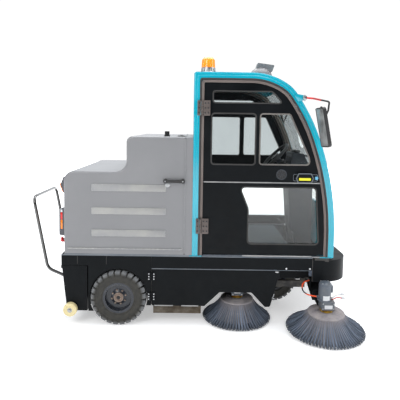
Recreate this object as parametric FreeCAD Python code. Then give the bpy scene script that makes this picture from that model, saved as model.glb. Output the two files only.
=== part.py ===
"""Compact ride-on street sweeper: one STEP file per sub-part, in millimetres.

X points forward, Y to the driver's left, Z up, and Z = 0 is the ground. Stations along X are first counted
from the back of the cab, and every piece is moved at the end so that the origin is under the middle of the
whole machine. Right-hand pieces are drawn on the -Y side and mirrored for the left.
"""
import FreeCAD, Part
import math
import os
from FreeCAD import Placement, Rotation, Vector

# ---- body and deck ----
BODY_HALF = 556.0            # outer face of skirts and deck side
DECK_TOP = 525.0
DECK_SHEET = 6.0
BAND_HEIGHT = 97.0           # side of the deck, seen above the skirts
DECK_REAR = -952.0
BUMPER_START = 889.0
SHEET = 5.0                  # skirts, flaps and bumper
GAP = 5.0                    # shut line round every panel that opens

# ---- wheels ----
TYRE_RADIUS = 205.0
TYRE_WIDTH = 106.0
RIM_RADIUS = 104.0
REAR_AXLE_X = -533.0
REAR_TYRE_OUTER = 575.0
FRONT_WHEEL_X = 690.0
AXLE_RADIUS = 20.0
FRONT_AXLE_RADIUS = 12.0
RUNNING_FIT = 0.05           # radial clearance of a shaft in its bore

# ---- cab ----
CAB_HALF = 560.0
CAB_REAR = 4.0
CAB_FRONT = 1039.5
CAB_TOP = 1858.0
HOOP_WIDTH = 50.0
HOOP_DEPTH = 40.0
DOOR_GAP = 18.0              # room for the weatherstrip between hoop and door
DOOR_THICK = 25.0
DOOR_SETBACK = 7.0           # door face behind the hoop face
PANE = 6.0
PANEL = 20.0                 # roof, front panel and rear wall
CAB_ARCS = [(275.0, 32.0, 54.0), (1350.0, 54.0, 70.0), (2090.0, 70.0, 90.0)]
ROOF_ARC = (466.0, 0.0, 32.0)
SCREEN_FROM, SCREEN_TO = 38.0, 84.0   # slope of the cab's front where the windscreen starts and ends

# ---- rear hood ----
HOOD_REAR = -930.0
HOOD_LOW_TOP = 1140.0
HOOD_HIGH_TOP = 1396.0
HOOD_STEP_X = -476.0
HOOD_FRONT = -55.0
HOOD_WALL = 5.0
HOOD_EDGE_RADIUS = 16.0

# ---- sweeping gear ----
FRONT_BRUSH = {"x": 973.0, "y": 642.5, "radius": 280.0, "disc": 129.0, "height": 143.0, "tilt": 5.2}
MID_BRUSH = {"x": 355.0, "y": 400.0, "radius": 262.0, "disc": 124.0, "height": 160.0, "tilt": 3.0}
BRISTLE_CLEARANCE = 4.0
DISC_THICK = 14.0
BRUSH_HUB_RADIUS = 30.0
BRUSH_HUB_HEIGHT = 14.0
BRUSH_SHAFT_RADIUS = 10.0
MOTOR_RADIUS = 43.5
GEARBOX = (91.0, 92.0, 66.0)
MOTOR_HEIGHT = 127.0
ARM_PIVOT_Y = 400.0
ARM_PIVOT_Z = 318.0
ARM_FACE_Y = 607.0           # inner face of the gearbox, where the arm carries it
BROOM_X = -120.0
BROOM_RADIUS = 170.0
BROOM_HALF = 345.0
BROOM_SHAFT_RADIUS = 15.0

# ---- hopper ----
HOPPER_FRONT = -360.0
HOPPER_STEP_X = -765.0
HOPPER_HALF = 551.0
HOPPER_NARROW_HALF = 360.0
HOPPER_TOP = 440.0
HOPPER_BOTTOM = 101.0
HOPPER_REAR_TOP_X = -950.0
HOPPER_REAR_LOW_X = -914.0
HOPPER_WALL = 4.0
HANDLE_TUBE = 12.5
HANDLE_HALF = 295.0
HANDLE_GRIP = (-1239.0, 905.0)
HANDLE_KNEE = (-1134.0, 338.0)
HANDLE_FOOT_Z = 235.0
ROLLER_RADIUS = 50.0
ROLLER_WIDTH = 38.0
ROLLER_X = -884.0
ROLLER_Z = 119.0

# ---- frame under the deck ----
RAIL_IN, RAIL_OUT = 270.0, 310.0
RAIL_LOW = 459.0
CROSS_LOW = 479.0
CROSS_X = (-840.0, -300.0, 100.0, 500.0)
CROSS_HALF = 20.0
LOWER_RAIL_Y = 460.0
BRACKET_THICK = 12.0
BRACKET_GAP = 32.0           # from the tray's side to the stub axle's plate
STUB_TIP = 12.0              # how far the stub axle passes the wheel's middle plane
HUB_LENGTH = 30.0            # hub to each side of that plane
HUB_RADIUS = 36.0
HEAD_TUBE_RADIUS = 32.0
CROWN_TOP = 440.0            # top of the steering fork's crown
TOW_EYE = (1022.0, 312.0)
TOW_EYE_RADIUS = 12.0
TOW_THICK = 16.0
LUG_X = (868.0, 992.0)       # the brush arm pivot's two lugs
LUG_THICK = 12.0
LUG_HALF = 18.0
PIVOT_PIN = 8.0
ARM_KNUCKLE = 17.0

# ---- skirts, side flaps and nose ----
FLAP_HINGE_X = -290.0
FLAP_LOW = 149.0
ARCH_RADIUS = 213.0
FLAP_HINGES = ((190.0, 249.0), (341.0, 400.0))   # low and high ends of each hinge
HINGE_OUT = 8.0              # hinge axis outside the skirt's face
HINGE_PIN = 3.5
HINGE_KNUCKLE = 7.0
HINGE_LEAF = 26.0
NOSE_X = 1176.0
NOSE_CORNER = 210.0
NOSE_TOP, NOSE_LOW = 505.0, 345.0

# ---- doors and windows ----
DOOR_HINGES = ((700.0, 804.0), (1553.0, 1653.0))
DOOR_AXIS_OUT = 9.0
DOOR_SILL = 20.0             # door's lower edge above the deck
TOP_WINDOW = {"rear": 141.0, "front": 560.0, "low": 1642.0, "high": 1726.0, "corner": 18.0}
MID_WINDOW = {"rear": 134.0, "front": 450.0, "low": 1202.0, "high": 1568.0, "corner": 22.0}
REAR_WINDOW = {"half": 400.0, "low": 1450.0, "high": 1770.0}
SEALED_FIT = 0.2             # pane to the edge of its opening

# ---- driver's place ----
SEAT_HALF = 200.0
SEAT_HEIGHT = 850.0
CUSHION_HEIGHT = 935.0
STEER_CENTRE = (691.0, 0.0, 1231.0)
STEER_RADIUS = 150.0
STEER_RING = 13.0
STEER_AXIS = (-math.sqrt(0.5), 0.0, math.sqrt(0.5))
BEACON = (107.0, -420.0)
BEACON_BASE_HEIGHT = 46.0
ROOF_LAMP = (525.0, -200.0)
ROOF_DOME_RADIUS = 92.0
MIRROR = (895.0, -690.0, 1478.0)
MIRROR_SIZE = (20.0, 125.0, 275.0)
MIRROR_TURN, MIRROR_LEAN = 10.0, 11.0

# ---- hood hinges ----
HOOD_HINGE_Y = (-380.0, 380.0)
HOOD_PIN = 4.0
HOOD_KNUCKLE = 8.0

# ---- cables on the front brush arms: points chosen by hand for the right-hand arm ----
CABLE_RADIUS = 5.0
CABLE_ROUTE = [(884, -508, 340), (844, -538, 343), (812, -580, 328), (805, -630, 302), (838, -666, 283),
               (896, -668, 277)]

# ---- places that follow from the sizes above ----
DECK_UNDER = DECK_TOP - DECK_SHEET
BRACKET_IN = HOPPER_NARROW_HALF + BRACKET_GAP
REAR_WHEEL_Y = REAR_TYRE_OUTER - TYRE_WIDTH / 2
BROOM_Z = BROOM_RADIUS + BRISTLE_CLEARANCE
FLAP_TOP = DECK_TOP - BAND_HEIGHT - GAP
DOOR_INSET = HOOP_WIDTH + DOOR_GAP
DOOR_FACE = -CAB_HALF + DOOR_SETBACK
DOOR_AXIS_X = CAB_REAR + HOOP_WIDTH + DOOR_GAP / 2
DOOR_AXIS_Y = -CAB_HALF - DOOR_AXIS_OUT
DOOR_LOW = DECK_TOP + DOOR_SILL
HOOD_BOTTOM = DECK_TOP + 2 * GAP
HOOD_AXIS = (HOOD_REAR - 14, DECK_TOP + 24)
LAMP_FACE = CAB_TOP - 4      # face of the roof panel, where the roof lights stand


# ---------------------------------------------------------------- shape helpers
def box(x0, x1, y0, y1, z0, z1):
    return Part.makeBox(x1 - x0, y1 - y0, z1 - z0, Vector(x0, y0, z0))


def rod(start, end, radius):
    start, end = Vector(*start), Vector(*end)
    return Part.makeCylinder(radius, (end - start).Length, start, end - start)


def fuse(*shapes):
    shapes = list(shapes)
    body = shapes[0].multiFuse(shapes[1:]) if len(shapes) > 1 else shapes[0]
    return body.removeSplitter()


def cut(shape, *tools):
    return shape.cut(list(tools))


def mirrored(shape):
    return shape.mirror(Vector(0, 0, 0), Vector(0, 1, 0))


def pair(shape):
    """The right-hand solid and its left-hand twin, as solids that don't touch."""
    return Part.makeCompound([shape, mirrored(shape)])


def path_edges(points, radii, closed=True):
    """Straight runs joined by tangent arcs, one radius for each point (0 leaves a corner)."""
    points = [Vector(*p) for p in points]
    count = len(points)
    corners = []
    for i, corner in enumerate(points):
        radius = radii[i]
        if radius <= 0 or (not closed and i in (0, count - 1)):
            corners.append((corner, None, corner))
            continue
        back = (points[i - 1] - corner).normalize()
        ahead = (points[(i + 1) % count] - corner).normalize()
        half = back.getAngle(ahead) / 2
        middle = (back + ahead).normalize()
        reach = radius / math.tan(half)
        centre = corner + middle * (radius / math.sin(half))
        corners.append((corner + back * reach, centre - middle * radius, corner + ahead * reach))
    edges = []
    for i, (_, _, leave) in enumerate(corners):
        if corners[i][1] is not None:
            edges.append(Part.Arc(*corners[i]).toShape())
        if i < count - 1 or closed:
            arrive = corners[(i + 1) % count][0]
            if (arrive - leave).Length > 1e-6:
                edges.append(Part.LineSegment(leave, arrive).toShape())
    return edges


def side_plate(points, radii, y0, y1):
    """A plate between y0 and y1 from an outline of (x, z) points."""
    wire = Part.Wire(path_edges([(x, y0, z) for x, z in points], radii))
    return Part.Face(wire).extrude(Vector(0, y1 - y0, 0))


def flat_plate(points, radii, z0, z1):
    """A plate between z0 and z1 from an outline of (x, y) points."""
    wire = Part.Wire(path_edges([(x, y, z0) for x, y in points], radii))
    return Part.Face(wire).extrude(Vector(0, 0, z1 - z0))


def cross_plate(points, x0, x1):
    """A plate between x0 and x1 from an outline of (y, z) points."""
    wire = Part.makePolygon([Vector(x0, y, z) for y, z in points + points[:1]])
    return Part.Face(wire).extrude(Vector(x1 - x0, 0, 0))


def turned(points, radii, centre, axis):
    """A solid of revolution from (along, radius) points about an axis through centre."""
    wire = Part.Wire(path_edges([(r, 0, a) for a, r in points], radii))
    solid = Part.Face(wire).revolve(Vector(0, 0, 0), Vector(0, 0, 1), 360)
    solid.Placement = Placement(Vector(*centre), Rotation(Vector(0, 0, 1), Vector(*axis)))
    return solid


def tube(points, radii, radius):
    """A round bar or tube's outside, along runs and tangent arcs."""
    wire = Part.Wire(path_edges(points, radii, closed=False))
    start, second = Vector(*points[0]), Vector(*points[1])
    section = Part.Wire(Part.makeCircle(radius, start, second - start))
    return wire.makePipeShell([section], True, False)


def slot_box(x0, x1, y0, y1, z0, z1, radius):
    """A window opening or a pane, with rounded corners in side view."""
    return side_plate([(x0, z0), (x1, z0), (x1, z1), (x0, z1)], [radius] * 4, y0, y1)


def hinge(axis_x, axis_y, low, high, fixed_reach, moving_reach, moving_y):
    """Leaves of a butt hinge on the right-hand side: (fixed, moving). The pin stands on the fixed leaf."""
    height = high - low
    third = height / 3
    face_y = -BODY_HALF
    pin = rod((axis_x, axis_y, low), (axis_x, axis_y, high), HINGE_PIN)
    fixed = [pin]
    for z0, z1 in ((low, low + third - 1), (high - third + 1, high)):
        fixed.append(rod((axis_x, axis_y, z0), (axis_x, axis_y, z1), HINGE_KNUCKLE))
        fixed.append(box(axis_x - HINGE_KNUCKLE - 3, axis_x, axis_y - 2, axis_y + 2, z0, z1))
    fixed.append(box(axis_x - fixed_reach, axis_x - HINGE_KNUCKLE - 2, axis_y - 2, max(face_y, axis_y + 2),
                     low, high))
    z0, z1 = low + third, high - third
    moving = [rod((axis_x, axis_y, z0), (axis_x, axis_y, z1), HINGE_KNUCKLE),
              box(axis_x, axis_x + HINGE_KNUCKLE + 3, axis_y - 2, axis_y + 2, z0, z1),
              box(axis_x + HINGE_KNUCKLE + 2, axis_x + moving_reach, axis_y - 2, max(moving_y, axis_y + 2),
                  low, high)]
    bore = rod((axis_x, axis_y, low - 1), (axis_x, axis_y, high + 1), HINGE_PIN + RUNNING_FIT)
    return fuse(*fixed), cut(fuse(*moving), bore)


# ---------------------------------------------------------------- cab outline
def roof_start():
    """Where the flat roof meets the first arc, so that the front ends at CAB_FRONT."""
    reach = 0.0
    for radius, start, end in [ROOF_ARC] + CAB_ARCS:
        reach += radius * (math.sin(math.radians(end)) - math.sin(math.radians(start)))
    return CAB_FRONT - reach


def cab_point(slope, inset=0.0):
    """Point (x, z) of the cab's side outline where it slopes down by this many degrees."""
    x, z = roof_start(), CAB_TOP
    for radius, start, end in [ROOF_ARC] + CAB_ARCS:
        stop = min(slope, end)
        x += radius * (math.sin(math.radians(stop)) - math.sin(math.radians(start)))
        z -= radius * (math.cos(math.radians(start)) - math.cos(math.radians(stop)))
        if slope <= end:
            break
    angle = math.radians(slope)
    return x - inset * math.sin(angle), z - inset * math.cos(angle)


def cab_arcs(start, end, inset, y):
    """Edges of the outline from one slope to another."""
    edges = []
    for _, arc_start, arc_end in [ROOF_ARC] + CAB_ARCS:
        a, b = max(start, arc_start), min(end, arc_end)
        if b - a < 1e-6:
            continue
        ends = [cab_point(s, inset) for s in (a, (a + b) / 2, b)]
        edges.append(Part.Arc(*[Vector(x, y, z) for x, z in ends]).toShape())
    return edges


def cab_face(inset, floor, y, corner):
    """The whole side of the cab, drawn in by inset, as a face at y."""
    rear, top = CAB_REAR + inset, CAB_TOP - inset
    front = CAB_FRONT - inset
    line = path_edges([(front, y, cab_point(90)[1]), (front, y, floor), (rear, y, floor), (rear, y, top),
                       (roof_start(), y, top)], [0, 0, 0, corner, 0], closed=False)
    return Part.Face(Part.Wire(Part.__sortEdges__(line + cab_arcs(0, 90, inset, y))))


def cab_shell(start, end, outer, inner, y_half, tail_front=None, tail_back=None):
    """A curved sheet between two insets and two slopes; a tail runs straight down or back."""
    y = -y_half
    outside = cab_arcs(start, end, outer, y)
    inside = cab_arcs(start, end, inner, y)
    first = [cab_point(start, outer), cab_point(start, inner)]
    last = [cab_point(end, outer), cab_point(end, inner)]

    def line(a, b):
        return Part.LineSegment(Vector(a[0], y, a[1]), Vector(b[0], y, b[1])).toShape()

    edges = outside + inside
    if tail_back is None:
        edges.append(line(*first))
    else:
        ends = [(tail_back, p[1]) for p in first]
        edges += [line(first[0], ends[0]), line(*ends), line(ends[1], first[1])]
    if tail_front is None:
        edges.append(line(*last))
    else:
        ends = [(p[0], tail_front) for p in last]
        edges += [line(last[0], ends[0]), line(*ends), line(ends[1], last[1])]
    return Part.Face(Part.Wire(Part.__sortEdges__(edges))).extrude(Vector(0, 2 * y_half, 0))


# ---------------------------------------------------------------- chassis
def frame_rails():
    """Main rails under the deck and the low side rails behind the flaps, on their posts."""
    main = box(DECK_REAR + 22, CAB_FRONT - 4, -RAIL_OUT, -RAIL_IN, RAIL_LOW, DECK_UNDER)
    y0, y1 = -LOWER_RAIL_Y, -LOWER_RAIL_Y + 30
    low = box(480, 862, y0, y1, 270, 318)
    posts = [box(x, x + 30, y0, y1, 300, DECK_UNDER) for x in (523.0, 832.0)]
    low = fuse(low, *posts)
    return Part.makeCompound([main, mirrored(main), low, mirrored(low)])


def cross_members():
    """Channels across the frame: a length between the rails and one outside each rail."""
    solids = []
    for x in CROSS_X:
        solids.append(box(x - CROSS_HALF, x + CROSS_HALF, -RAIL_IN, RAIL_IN, CROSS_LOW, DECK_UNDER))
        outrigger = box(x - CROSS_HALF, x + CROSS_HALF, -BODY_HALF + SHEET, -RAIL_OUT, CROSS_LOW, DECK_UNDER)
        solids += [outrigger, mirrored(outrigger)]
    return Part.makeCompound(solids)


def steering_head():
    """Cross member with the bearing tube that the fork's stem turns in."""
    x = FRONT_WHEEL_X
    beam = box(x - 35, x + 35, -RAIL_IN, RAIL_IN, CROSS_LOW, DECK_UNDER)
    head = rod((x, 0, CROWN_TOP + 6), (x, 0, DECK_UNDER), HEAD_TUBE_RADIUS)
    bore = rod((x, 0, CROWN_TOP), (x, 0, DECK_UNDER + 1), AXLE_RADIUS + RUNNING_FIT)
    return cut(fuse(beam, head), bore)


def axle_brackets():
    """Plate and stub axle that carry each rear wheel."""
    x = REAR_AXLE_X
    plate = side_plate([(x - 60, TYRE_RADIUS - 45), (x + 60, TYRE_RADIUS - 45), (x + 60, DECK_UNDER),
                        (x - 60, DECK_UNDER)], [30, 30, 0, 0], -BRACKET_IN - BRACKET_THICK, -BRACKET_IN)
    beam = box(x - 40, x + 40, -BRACKET_IN, -RAIL_OUT, CROSS_LOW, DECK_UNDER)
    stub = rod((x, -BRACKET_IN, TYRE_RADIUS), (x, -REAR_WHEEL_Y - STUB_TIP, TYRE_RADIUS), AXLE_RADIUS)
    return pair(fuse(plate, beam, stub))


def nose_frame():
    """Front beam with the tow eye and the lugs and pins of the brush arms."""
    x0, x1 = LUG_X[0], LUG_X[1] + LUG_THICK
    beam = box(x0, x1, -RAIL_IN, RAIL_IN, CROSS_LOW, DECK_UNDER)
    under = box(x0 + 20, x1 - 20, -ARM_PIVOT_Y - LUG_HALF, ARM_PIVOT_Y + LUG_HALF, RAIL_LOW - 16, RAIL_LOW)
    joint = box(x0 + 20, x1 - 20, -RAIL_IN + 60, RAIL_IN - 60, RAIL_LOW - 1, CROSS_LOW + 1)
    tow = side_plate([(935, RAIL_LOW), (935, 330), (985, 285), (1050, 285), (1050, 340), (1000, RAIL_LOW)],
                     [0, 30, 20, 20, 40, 0], -TOW_THICK / 2, TOW_THICK / 2)
    tow_hole = rod((TOW_EYE[0], -20, TOW_EYE[1]), (TOW_EYE[0], 20, TOW_EYE[1]), TOW_EYE_RADIUS)
    sides = []
    for s in (-1, 1):
        y0, y1 = sorted((s * (ARM_PIVOT_Y - LUG_HALF), s * (ARM_PIVOT_Y + LUG_HALF)))
        for x in LUG_X:
            sides.append(box(x, x + LUG_THICK, y0, y1, ARM_PIVOT_Z - 16, RAIL_LOW - 1))
        sides.append(box(LUG_X[0], x1, y0, y1, RAIL_LOW - 16, RAIL_LOW))
        sides.append(rod((LUG_X[0] + 1, s * ARM_PIVOT_Y, ARM_PIVOT_Z), (x1 - 1, s * ARM_PIVOT_Y, ARM_PIVOT_Z),
                         PIVOT_PIN))
    return cut(fuse(beam, under, joint, tow, *sides), tow_hole)


def deck():
    outline = [(DECK_REAR, -BODY_HALF), (BUMPER_START, -BODY_HALF), (BUMPER_START, BODY_HALF),
               (DECK_REAR, BODY_HALF)]
    plate = flat_plate(outline, [0] * 4, DECK_UNDER, DECK_TOP)
    nose = flat_plate([(BUMPER_START - 1, -BODY_HALF + SHEET), (CAB_FRONT, -BODY_HALF + SHEET),
                       (CAB_FRONT, BODY_HALF - SHEET), (BUMPER_START - 1, BODY_HALF - SHEET)], [0] * 4,
                      DECK_UNDER, DECK_TOP)
    low = DECK_TOP - BAND_HEIGHT
    bands = [box(FLAP_HINGE_X, BUMPER_START, -BODY_HALF, -BODY_HALF + SHEET, low, DECK_TOP),
             box(FLAP_HINGE_X, BUMPER_START, BODY_HALF - SHEET, BODY_HALF, low, DECK_TOP)]
    rear = box(DECK_REAR, DECK_REAR + SHEET, -BODY_HALF, BODY_HALF, HOPPER_TOP + GAP, DECK_TOP)
    return fuse(plate, nose, rear, *bands)


def side_skirts():
    """Fixed skirt round the rear wheel, with the band above the hopper's side and the hinge leaves."""
    rear_x = HOPPER_STEP_X + GAP + 5
    panel = box(rear_x, FLAP_HINGE_X - 2, -BODY_HALF, -BODY_HALF + SHEET, FLAP_LOW, DECK_UNDER)
    band = box(DECK_REAR + SHEET, rear_x, -BODY_HALF, -BODY_HALF + SHEET, HOPPER_TOP + GAP, DECK_UNDER)
    panel = fuse(panel, box(rear_x, REAR_AXLE_X, -BODY_HALF, -BODY_HALF + SHEET, HOPPER_BOTTOM, FLAP_LOW + 1))
    arch_z = TYRE_RADIUS + 4
    arch = rod((REAR_AXLE_X, -BODY_HALF - 1, arch_z), (REAR_AXLE_X, -BODY_HALF + SHEET + 1, arch_z),
               ARCH_RADIUS)
    leaves = [hinge(FLAP_HINGE_X, -BODY_HALF - HINGE_OUT, low, high, HINGE_LEAF, HINGE_LEAF, -BODY_HALF)[0]
              for low, high in FLAP_HINGES]
    under_wheel = box(REAR_AXLE_X - 60, REAR_AXLE_X + 60, -BODY_HALF - 1, -BODY_HALF + SHEET + 1, 0,
                      TYRE_RADIUS)
    skirt = fuse(cut(fuse(panel, band), arch, under_wheel), *leaves)
    recess = side_plate([(665, 345), (885, 345), (885, DECK_UNDER), (665, DECK_UNDER)], [12, 0, 0, 12], -478,
                        -473)
    return Part.makeCompound([skirt, mirrored(skirt), recess, mirrored(recess)])


def flap():
    """Hinged flap ahead of the rear wheel, cut out round the middle side brush."""
    low = FLAP_LOW
    outline = [(FLAP_HINGE_X + 3, low), (102, low), (213, 256), (448, 256), (548, low), (587, low),
               (655, FLAP_TOP),
               (FLAP_HINGE_X + 3, FLAP_TOP)]
    panel = side_plate(outline, [8, 12, 12, 12, 12, 18, 12, 4], -BODY_HALF, -BODY_HALF + SHEET)
    leaves = [hinge(FLAP_HINGE_X, -BODY_HALF - HINGE_OUT, low_z, high_z, HINGE_LEAF, HINGE_LEAF,
                    -BODY_HALF)[1]
              for low_z, high_z in FLAP_HINGES]
    return fuse(panel, *leaves)


def front_bumper():
    """Wrap-round nose: a folded cover, open below and behind."""
    def outline(inset, x0):
        front, side = NOSE_X - inset, BODY_HALF - inset
        return ([(x0, -side), (front, -side), (front, side), (x0, side)],
                [0, NOSE_CORNER - inset, NOSE_CORNER - inset, 0])

    solid = flat_plate(*outline(0, BUMPER_START), NOSE_LOW, NOSE_TOP)
    hollow = flat_plate(*outline(SHEET, BUMPER_START - 10), NOSE_LOW - 1, NOSE_TOP - SHEET)
    under_deck = flat_plate(*outline(SHEET, BUMPER_START - 10), NOSE_TOP - SHEET - 1, NOSE_TOP + 1).common(
        box(BUMPER_START - 20, CAB_FRONT + 2, -BODY_HALF, BODY_HALF, NOSE_LOW, NOSE_TOP + 2))
    return cut(solid, hollow, under_deck)


# ---------------------------------------------------------------- cab
def cab_hoops():
    outer = cab_face(0, DECK_TOP + 2, -CAB_HALF, 22).extrude(Vector(0, HOOP_DEPTH, 0))
    inner = cab_face(HOOP_WIDTH, DECK_TOP - 1, -CAB_HALF - 1, 10).extrude(Vector(0, HOOP_DEPTH + 2, 0))
    inner = fuse(inner,
                 box(CAB_REAR + HOOP_WIDTH, CAB_FRONT - HOOP_WIDTH, -CAB_HALF - 1, -CAB_HALF + HOOP_DEPTH + 1,
                            DECK_TOP - 1, 700))
    leaves = [door_hinge(low, high)[0] for low, high in DOOR_HINGES]
    return pair(fuse(cut(outer, inner), *leaves))


def door_hinge(low, high):
    return hinge(DOOR_AXIS_X, DOOR_AXIS_Y, low, high, 30, 48, DOOR_FACE)


def window_shapes(y0, y1, shrink):
    """The four windows of a door as solids between y0 and y1, drawn in by shrink."""
    s = shrink
    shapes = []
    x0, x1, z0, z1, r = TOP_WINDOW.values()
    shapes.append(side_plate([(x0 + s, z0 + s), (640 - s, z0 + s), (590 - s, z1 - 28), (x1 - s, z1 - s),
                              (x0 + s, z1 - s)], [r, 14, 40, 30, r], y0, y1))
    x0, x1, z0, z1, r = MID_WINDOW.values()
    shapes.append(slot_box(x0 + s, x1 - s, y0, y1, z0 + s, z1 - s, r))
    shapes.append(side_plate([(482 + s, 1205 + s), (846 - s, 1205 + s), (838 - s, 1260), (694 - s, 1568 - s),
                              (482 + s, 1568 - s)], [20, 24, 60, 20, 20], y0, y1))
    shapes.append(side_plate([(409 + s, 622 + s), (927 - s, 622 + s), (898 - s, 1040 - s),
                              (345 + s, 1040 - s),
                              (409 + s, 880)], [28, 28, 28, 28, 90], y0, y1))
    return shapes


def door():
    outline = cab_face(DOOR_INSET, DOOR_LOW, DOOR_FACE, 12)
    panel = outline.extrude(Vector(0, DOOR_THICK, 0))
    windows = window_shapes(DOOR_FACE - 1, DOOR_FACE + DOOR_THICK + 1, 0)
    leaves = [door_hinge(low, high)[1] for low, high in DOOR_HINGES]
    plate = slot_box(728, 905, DOOR_FACE - 6, DOOR_FACE + 1, 1090, 1138, 12)
    grip = side_plate([(758, 1080), (853, 1080), (868, 1112), (851, 1146), (760, 1146), (744, 1112)], [8] * 6,
                      DOOR_FACE - 34, DOOR_FACE - 5)
    finger = side_plate([(764, 1090), (848, 1090), (848, 1122), (764, 1122)], [6] * 4, DOOR_FACE - 22,
                        DOOR_FACE - 6)
    inner_grip = tube([(560, DOOR_FACE + DOOR_THICK - 2, 1112), (560, DOOR_FACE + DOOR_THICK + 40, 1112),
                       (700, DOOR_FACE + DOOR_THICK + 40, 1112), (700, DOOR_FACE + DOOR_THICK - 2, 1112)],
                      [0, 20, 20, 0], 8)
    return fuse(cut(panel, *windows), *leaves, plate, cut(grip, finger), inner_grip)


def door_glass():
    middle = DOOR_FACE + DOOR_THICK / 2
    return Part.makeCompound(window_shapes(middle - PANE / 2, middle + PANE / 2, SEALED_FIT))


def cab_glass():
    """Windscreen and rear window, each a pane between the hoops."""
    half = CAB_HALF - HOOP_DEPTH - 1
    screen = cab_shell(SCREEN_FROM, SCREEN_TO, 12, 12 + PANE, half)
    x = CAB_REAR + PANEL / 2
    y = REAR_WINDOW["half"] - SEALED_FIT
    rear = box(x - PANE / 2, x + PANE / 2, -y, y, REAR_WINDOW["low"] + SEALED_FIT,
               REAR_WINDOW["high"] - SEALED_FIT)
    return Part.makeCompound([screen, rear])


def cab_rear_wall():
    half = CAB_HALF - HOOP_DEPTH
    wall = box(CAB_REAR, CAB_REAR + PANEL, -half, half, DECK_TOP, CAB_TOP - 26)
    window = box(CAB_REAR - 1, CAB_REAR + PANEL + 1, -REAR_WINDOW["half"], REAR_WINDOW["half"],
                 REAR_WINDOW["low"],
                 REAR_WINDOW["high"])
    return cut(wall, window)


def roof_panel():
    return cab_shell(0, SCREEN_FROM - 0.5, 4, 4 + PANEL, CAB_HALF - HOOP_DEPTH, tail_back=CAB_REAR)


def front_panel():
    return cab_shell(SCREEN_TO + 0.1, 90, 4, 4 + PANEL, CAB_HALF - HOOP_DEPTH, tail_front=DECK_TOP)


def headlamps():
    x = CAB_FRONT - 4
    lamp = turned([(0, 0), (0, 68), (22, 68), (34, 55), (34, 0)], [0, 0, 8, 6, 0], (x, -330, 660), (1, 0, 0))
    return pair(lamp)


def seat_base():
    box_part = box(60, 400, -SEAT_HALF, SEAT_HALF, DECK_TOP, SEAT_HEIGHT)
    return box_part.makeFillet(20, [e for e in box_part.Edges if abs(e.tangentAt(0).z) > 0.9])


def seat_cushion():
    pad = box(66, 420, -SEAT_HALF - 25, SEAT_HALF + 25, SEAT_HEIGHT + 0.5, CUSHION_HEIGHT)
    return pad.makeFillet(24, pad.Edges)


def seat_back():
    low, high = CUSHION_HEIGHT + 3, CUSHION_HEIGHT + 200
    return side_plate([(34, low), (104, low), (88, high), (34, high)], [14, 20, 24, 14], -SEAT_HALF - 15,
                      SEAT_HALF + 15)


def along_column(distance):
    """A point on the steering column, measured down from the wheel's centre."""
    return tuple(c - a * distance for c, a in zip(STEER_CENTRE, STEER_AXIS))


def dash_console():
    profile = [(850, DECK_TOP), (985, DECK_TOP), (985, 980), (940, 1190), (905, 1262), (812, 1272),
               (800, 1160),
               (790, 950), (815, 640)]
    body = side_plate(profile, [0, 0, 60, 60, 14, 14, 60, 40, 60], -115, 115)
    column = rod(along_column(26), along_column(190), 24)
    return fuse(body, column)


def steering_wheel():
    ring = Part.makeTorus(STEER_RADIUS - STEER_RING, STEER_RING, Vector(0, 0, 0), Vector(0, 0, 1))
    hub = Part.makeCylinder(36, 26, Vector(0, 0, -21), Vector(0, 0, 1))
    spokes = []
    for angle in (90, 210, 330):
        spoke = Part.makeBox(STEER_RADIUS - 20, 26, 8, Vector(8, -13, -12))
        spoke.rotate(Vector(0, 0, 0), Vector(0, 0, 1), angle)
        spokes.append(spoke)
    wheel = fuse(ring, hub, *spokes)
    wheel.Placement = Placement(Vector(*STEER_CENTRE), Rotation(Vector(0, 0, 1), Vector(*STEER_AXIS)))
    return wheel


def pedals():
    shapes = []
    for x, z, y in ((755.0, 668.0, -60.0), (845.0, 585.0, -190.0)):
        pad = side_plate([(x - 34, z + 40), (x - 24, z + 48), (x + 44, z - 30), (x + 34, z - 38)], [0] * 4,
                         y - 35,
                         y + 35)
        arm = side_plate([(x, z), (x + 14, z + 14), (x + 44, DECK_TOP + 4), (x + 44, DECK_TOP),
                          (x + 20, DECK_TOP)],
                         [0] * 5, y - 8, y + 8)
        shapes.append(fuse(pad, arm))
    return Part.makeCompound(shapes)


def mirrors():
    """Door mirrors: bracket on the hoop, bent rod and housing as one solid on each side."""
    x, y, z = MIRROR
    foot = side_plate([(712, 1700), (740, 1708), (800, 1698), (800, 1672), (745, 1660)], [4, 6, 6, 6, 4],
                      -CAB_HALF - 5, -CAB_HALF)
    clamp = box(776, 800, -CAB_HALF - 18, -CAB_HALF - 4, 1674, 1696)
    rods = tube([(788, -CAB_HALF - 12, 1685), (842, -606, 1678), (x + 33, y, 1652), (x + 27, y, z + 114),
                 (x, y, z + 52)],
                [0, 30, 14, 20, 0], 6.5)
    thick, wide, high = MIRROR_SIZE
    head = Part.makeBox(thick, wide, high, Vector(-thick / 2, -wide / 2, -high / 2))
    head = head.makeFillet(24,
                           [e for e in head.Edges if e.BoundBox.XLength > thick / 2
                            and e.BoundBox.ZLength < 1])
    turn = Rotation(Vector(0, 1, 0), -MIRROR_LEAN) * Rotation(Vector(0, 0, 1), MIRROR_TURN)
    head.Placement = Placement(Vector(x, y, z), turn)
    return pair(fuse(foot, clamp, rods, head))


def beacon_base():
    top = BEACON_BASE_HEIGHT
    return turned([(0, 0), (0, 58), (12, 58), (18, 52), (top, 50), (top, 0)], [0, 0, 2, 4, 2, 0],
                  (*BEACON, LAMP_FACE), (0, 0, 1))


def beacon_lens():
    return turned([(0.2, 0), (0.2, 49), (62, 45), (77, 32), (77, 0)], [0, 0, 8, 8, 0],
                  (*BEACON, LAMP_FACE + BEACON_BASE_HEIGHT), (0, 0, 1))


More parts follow.
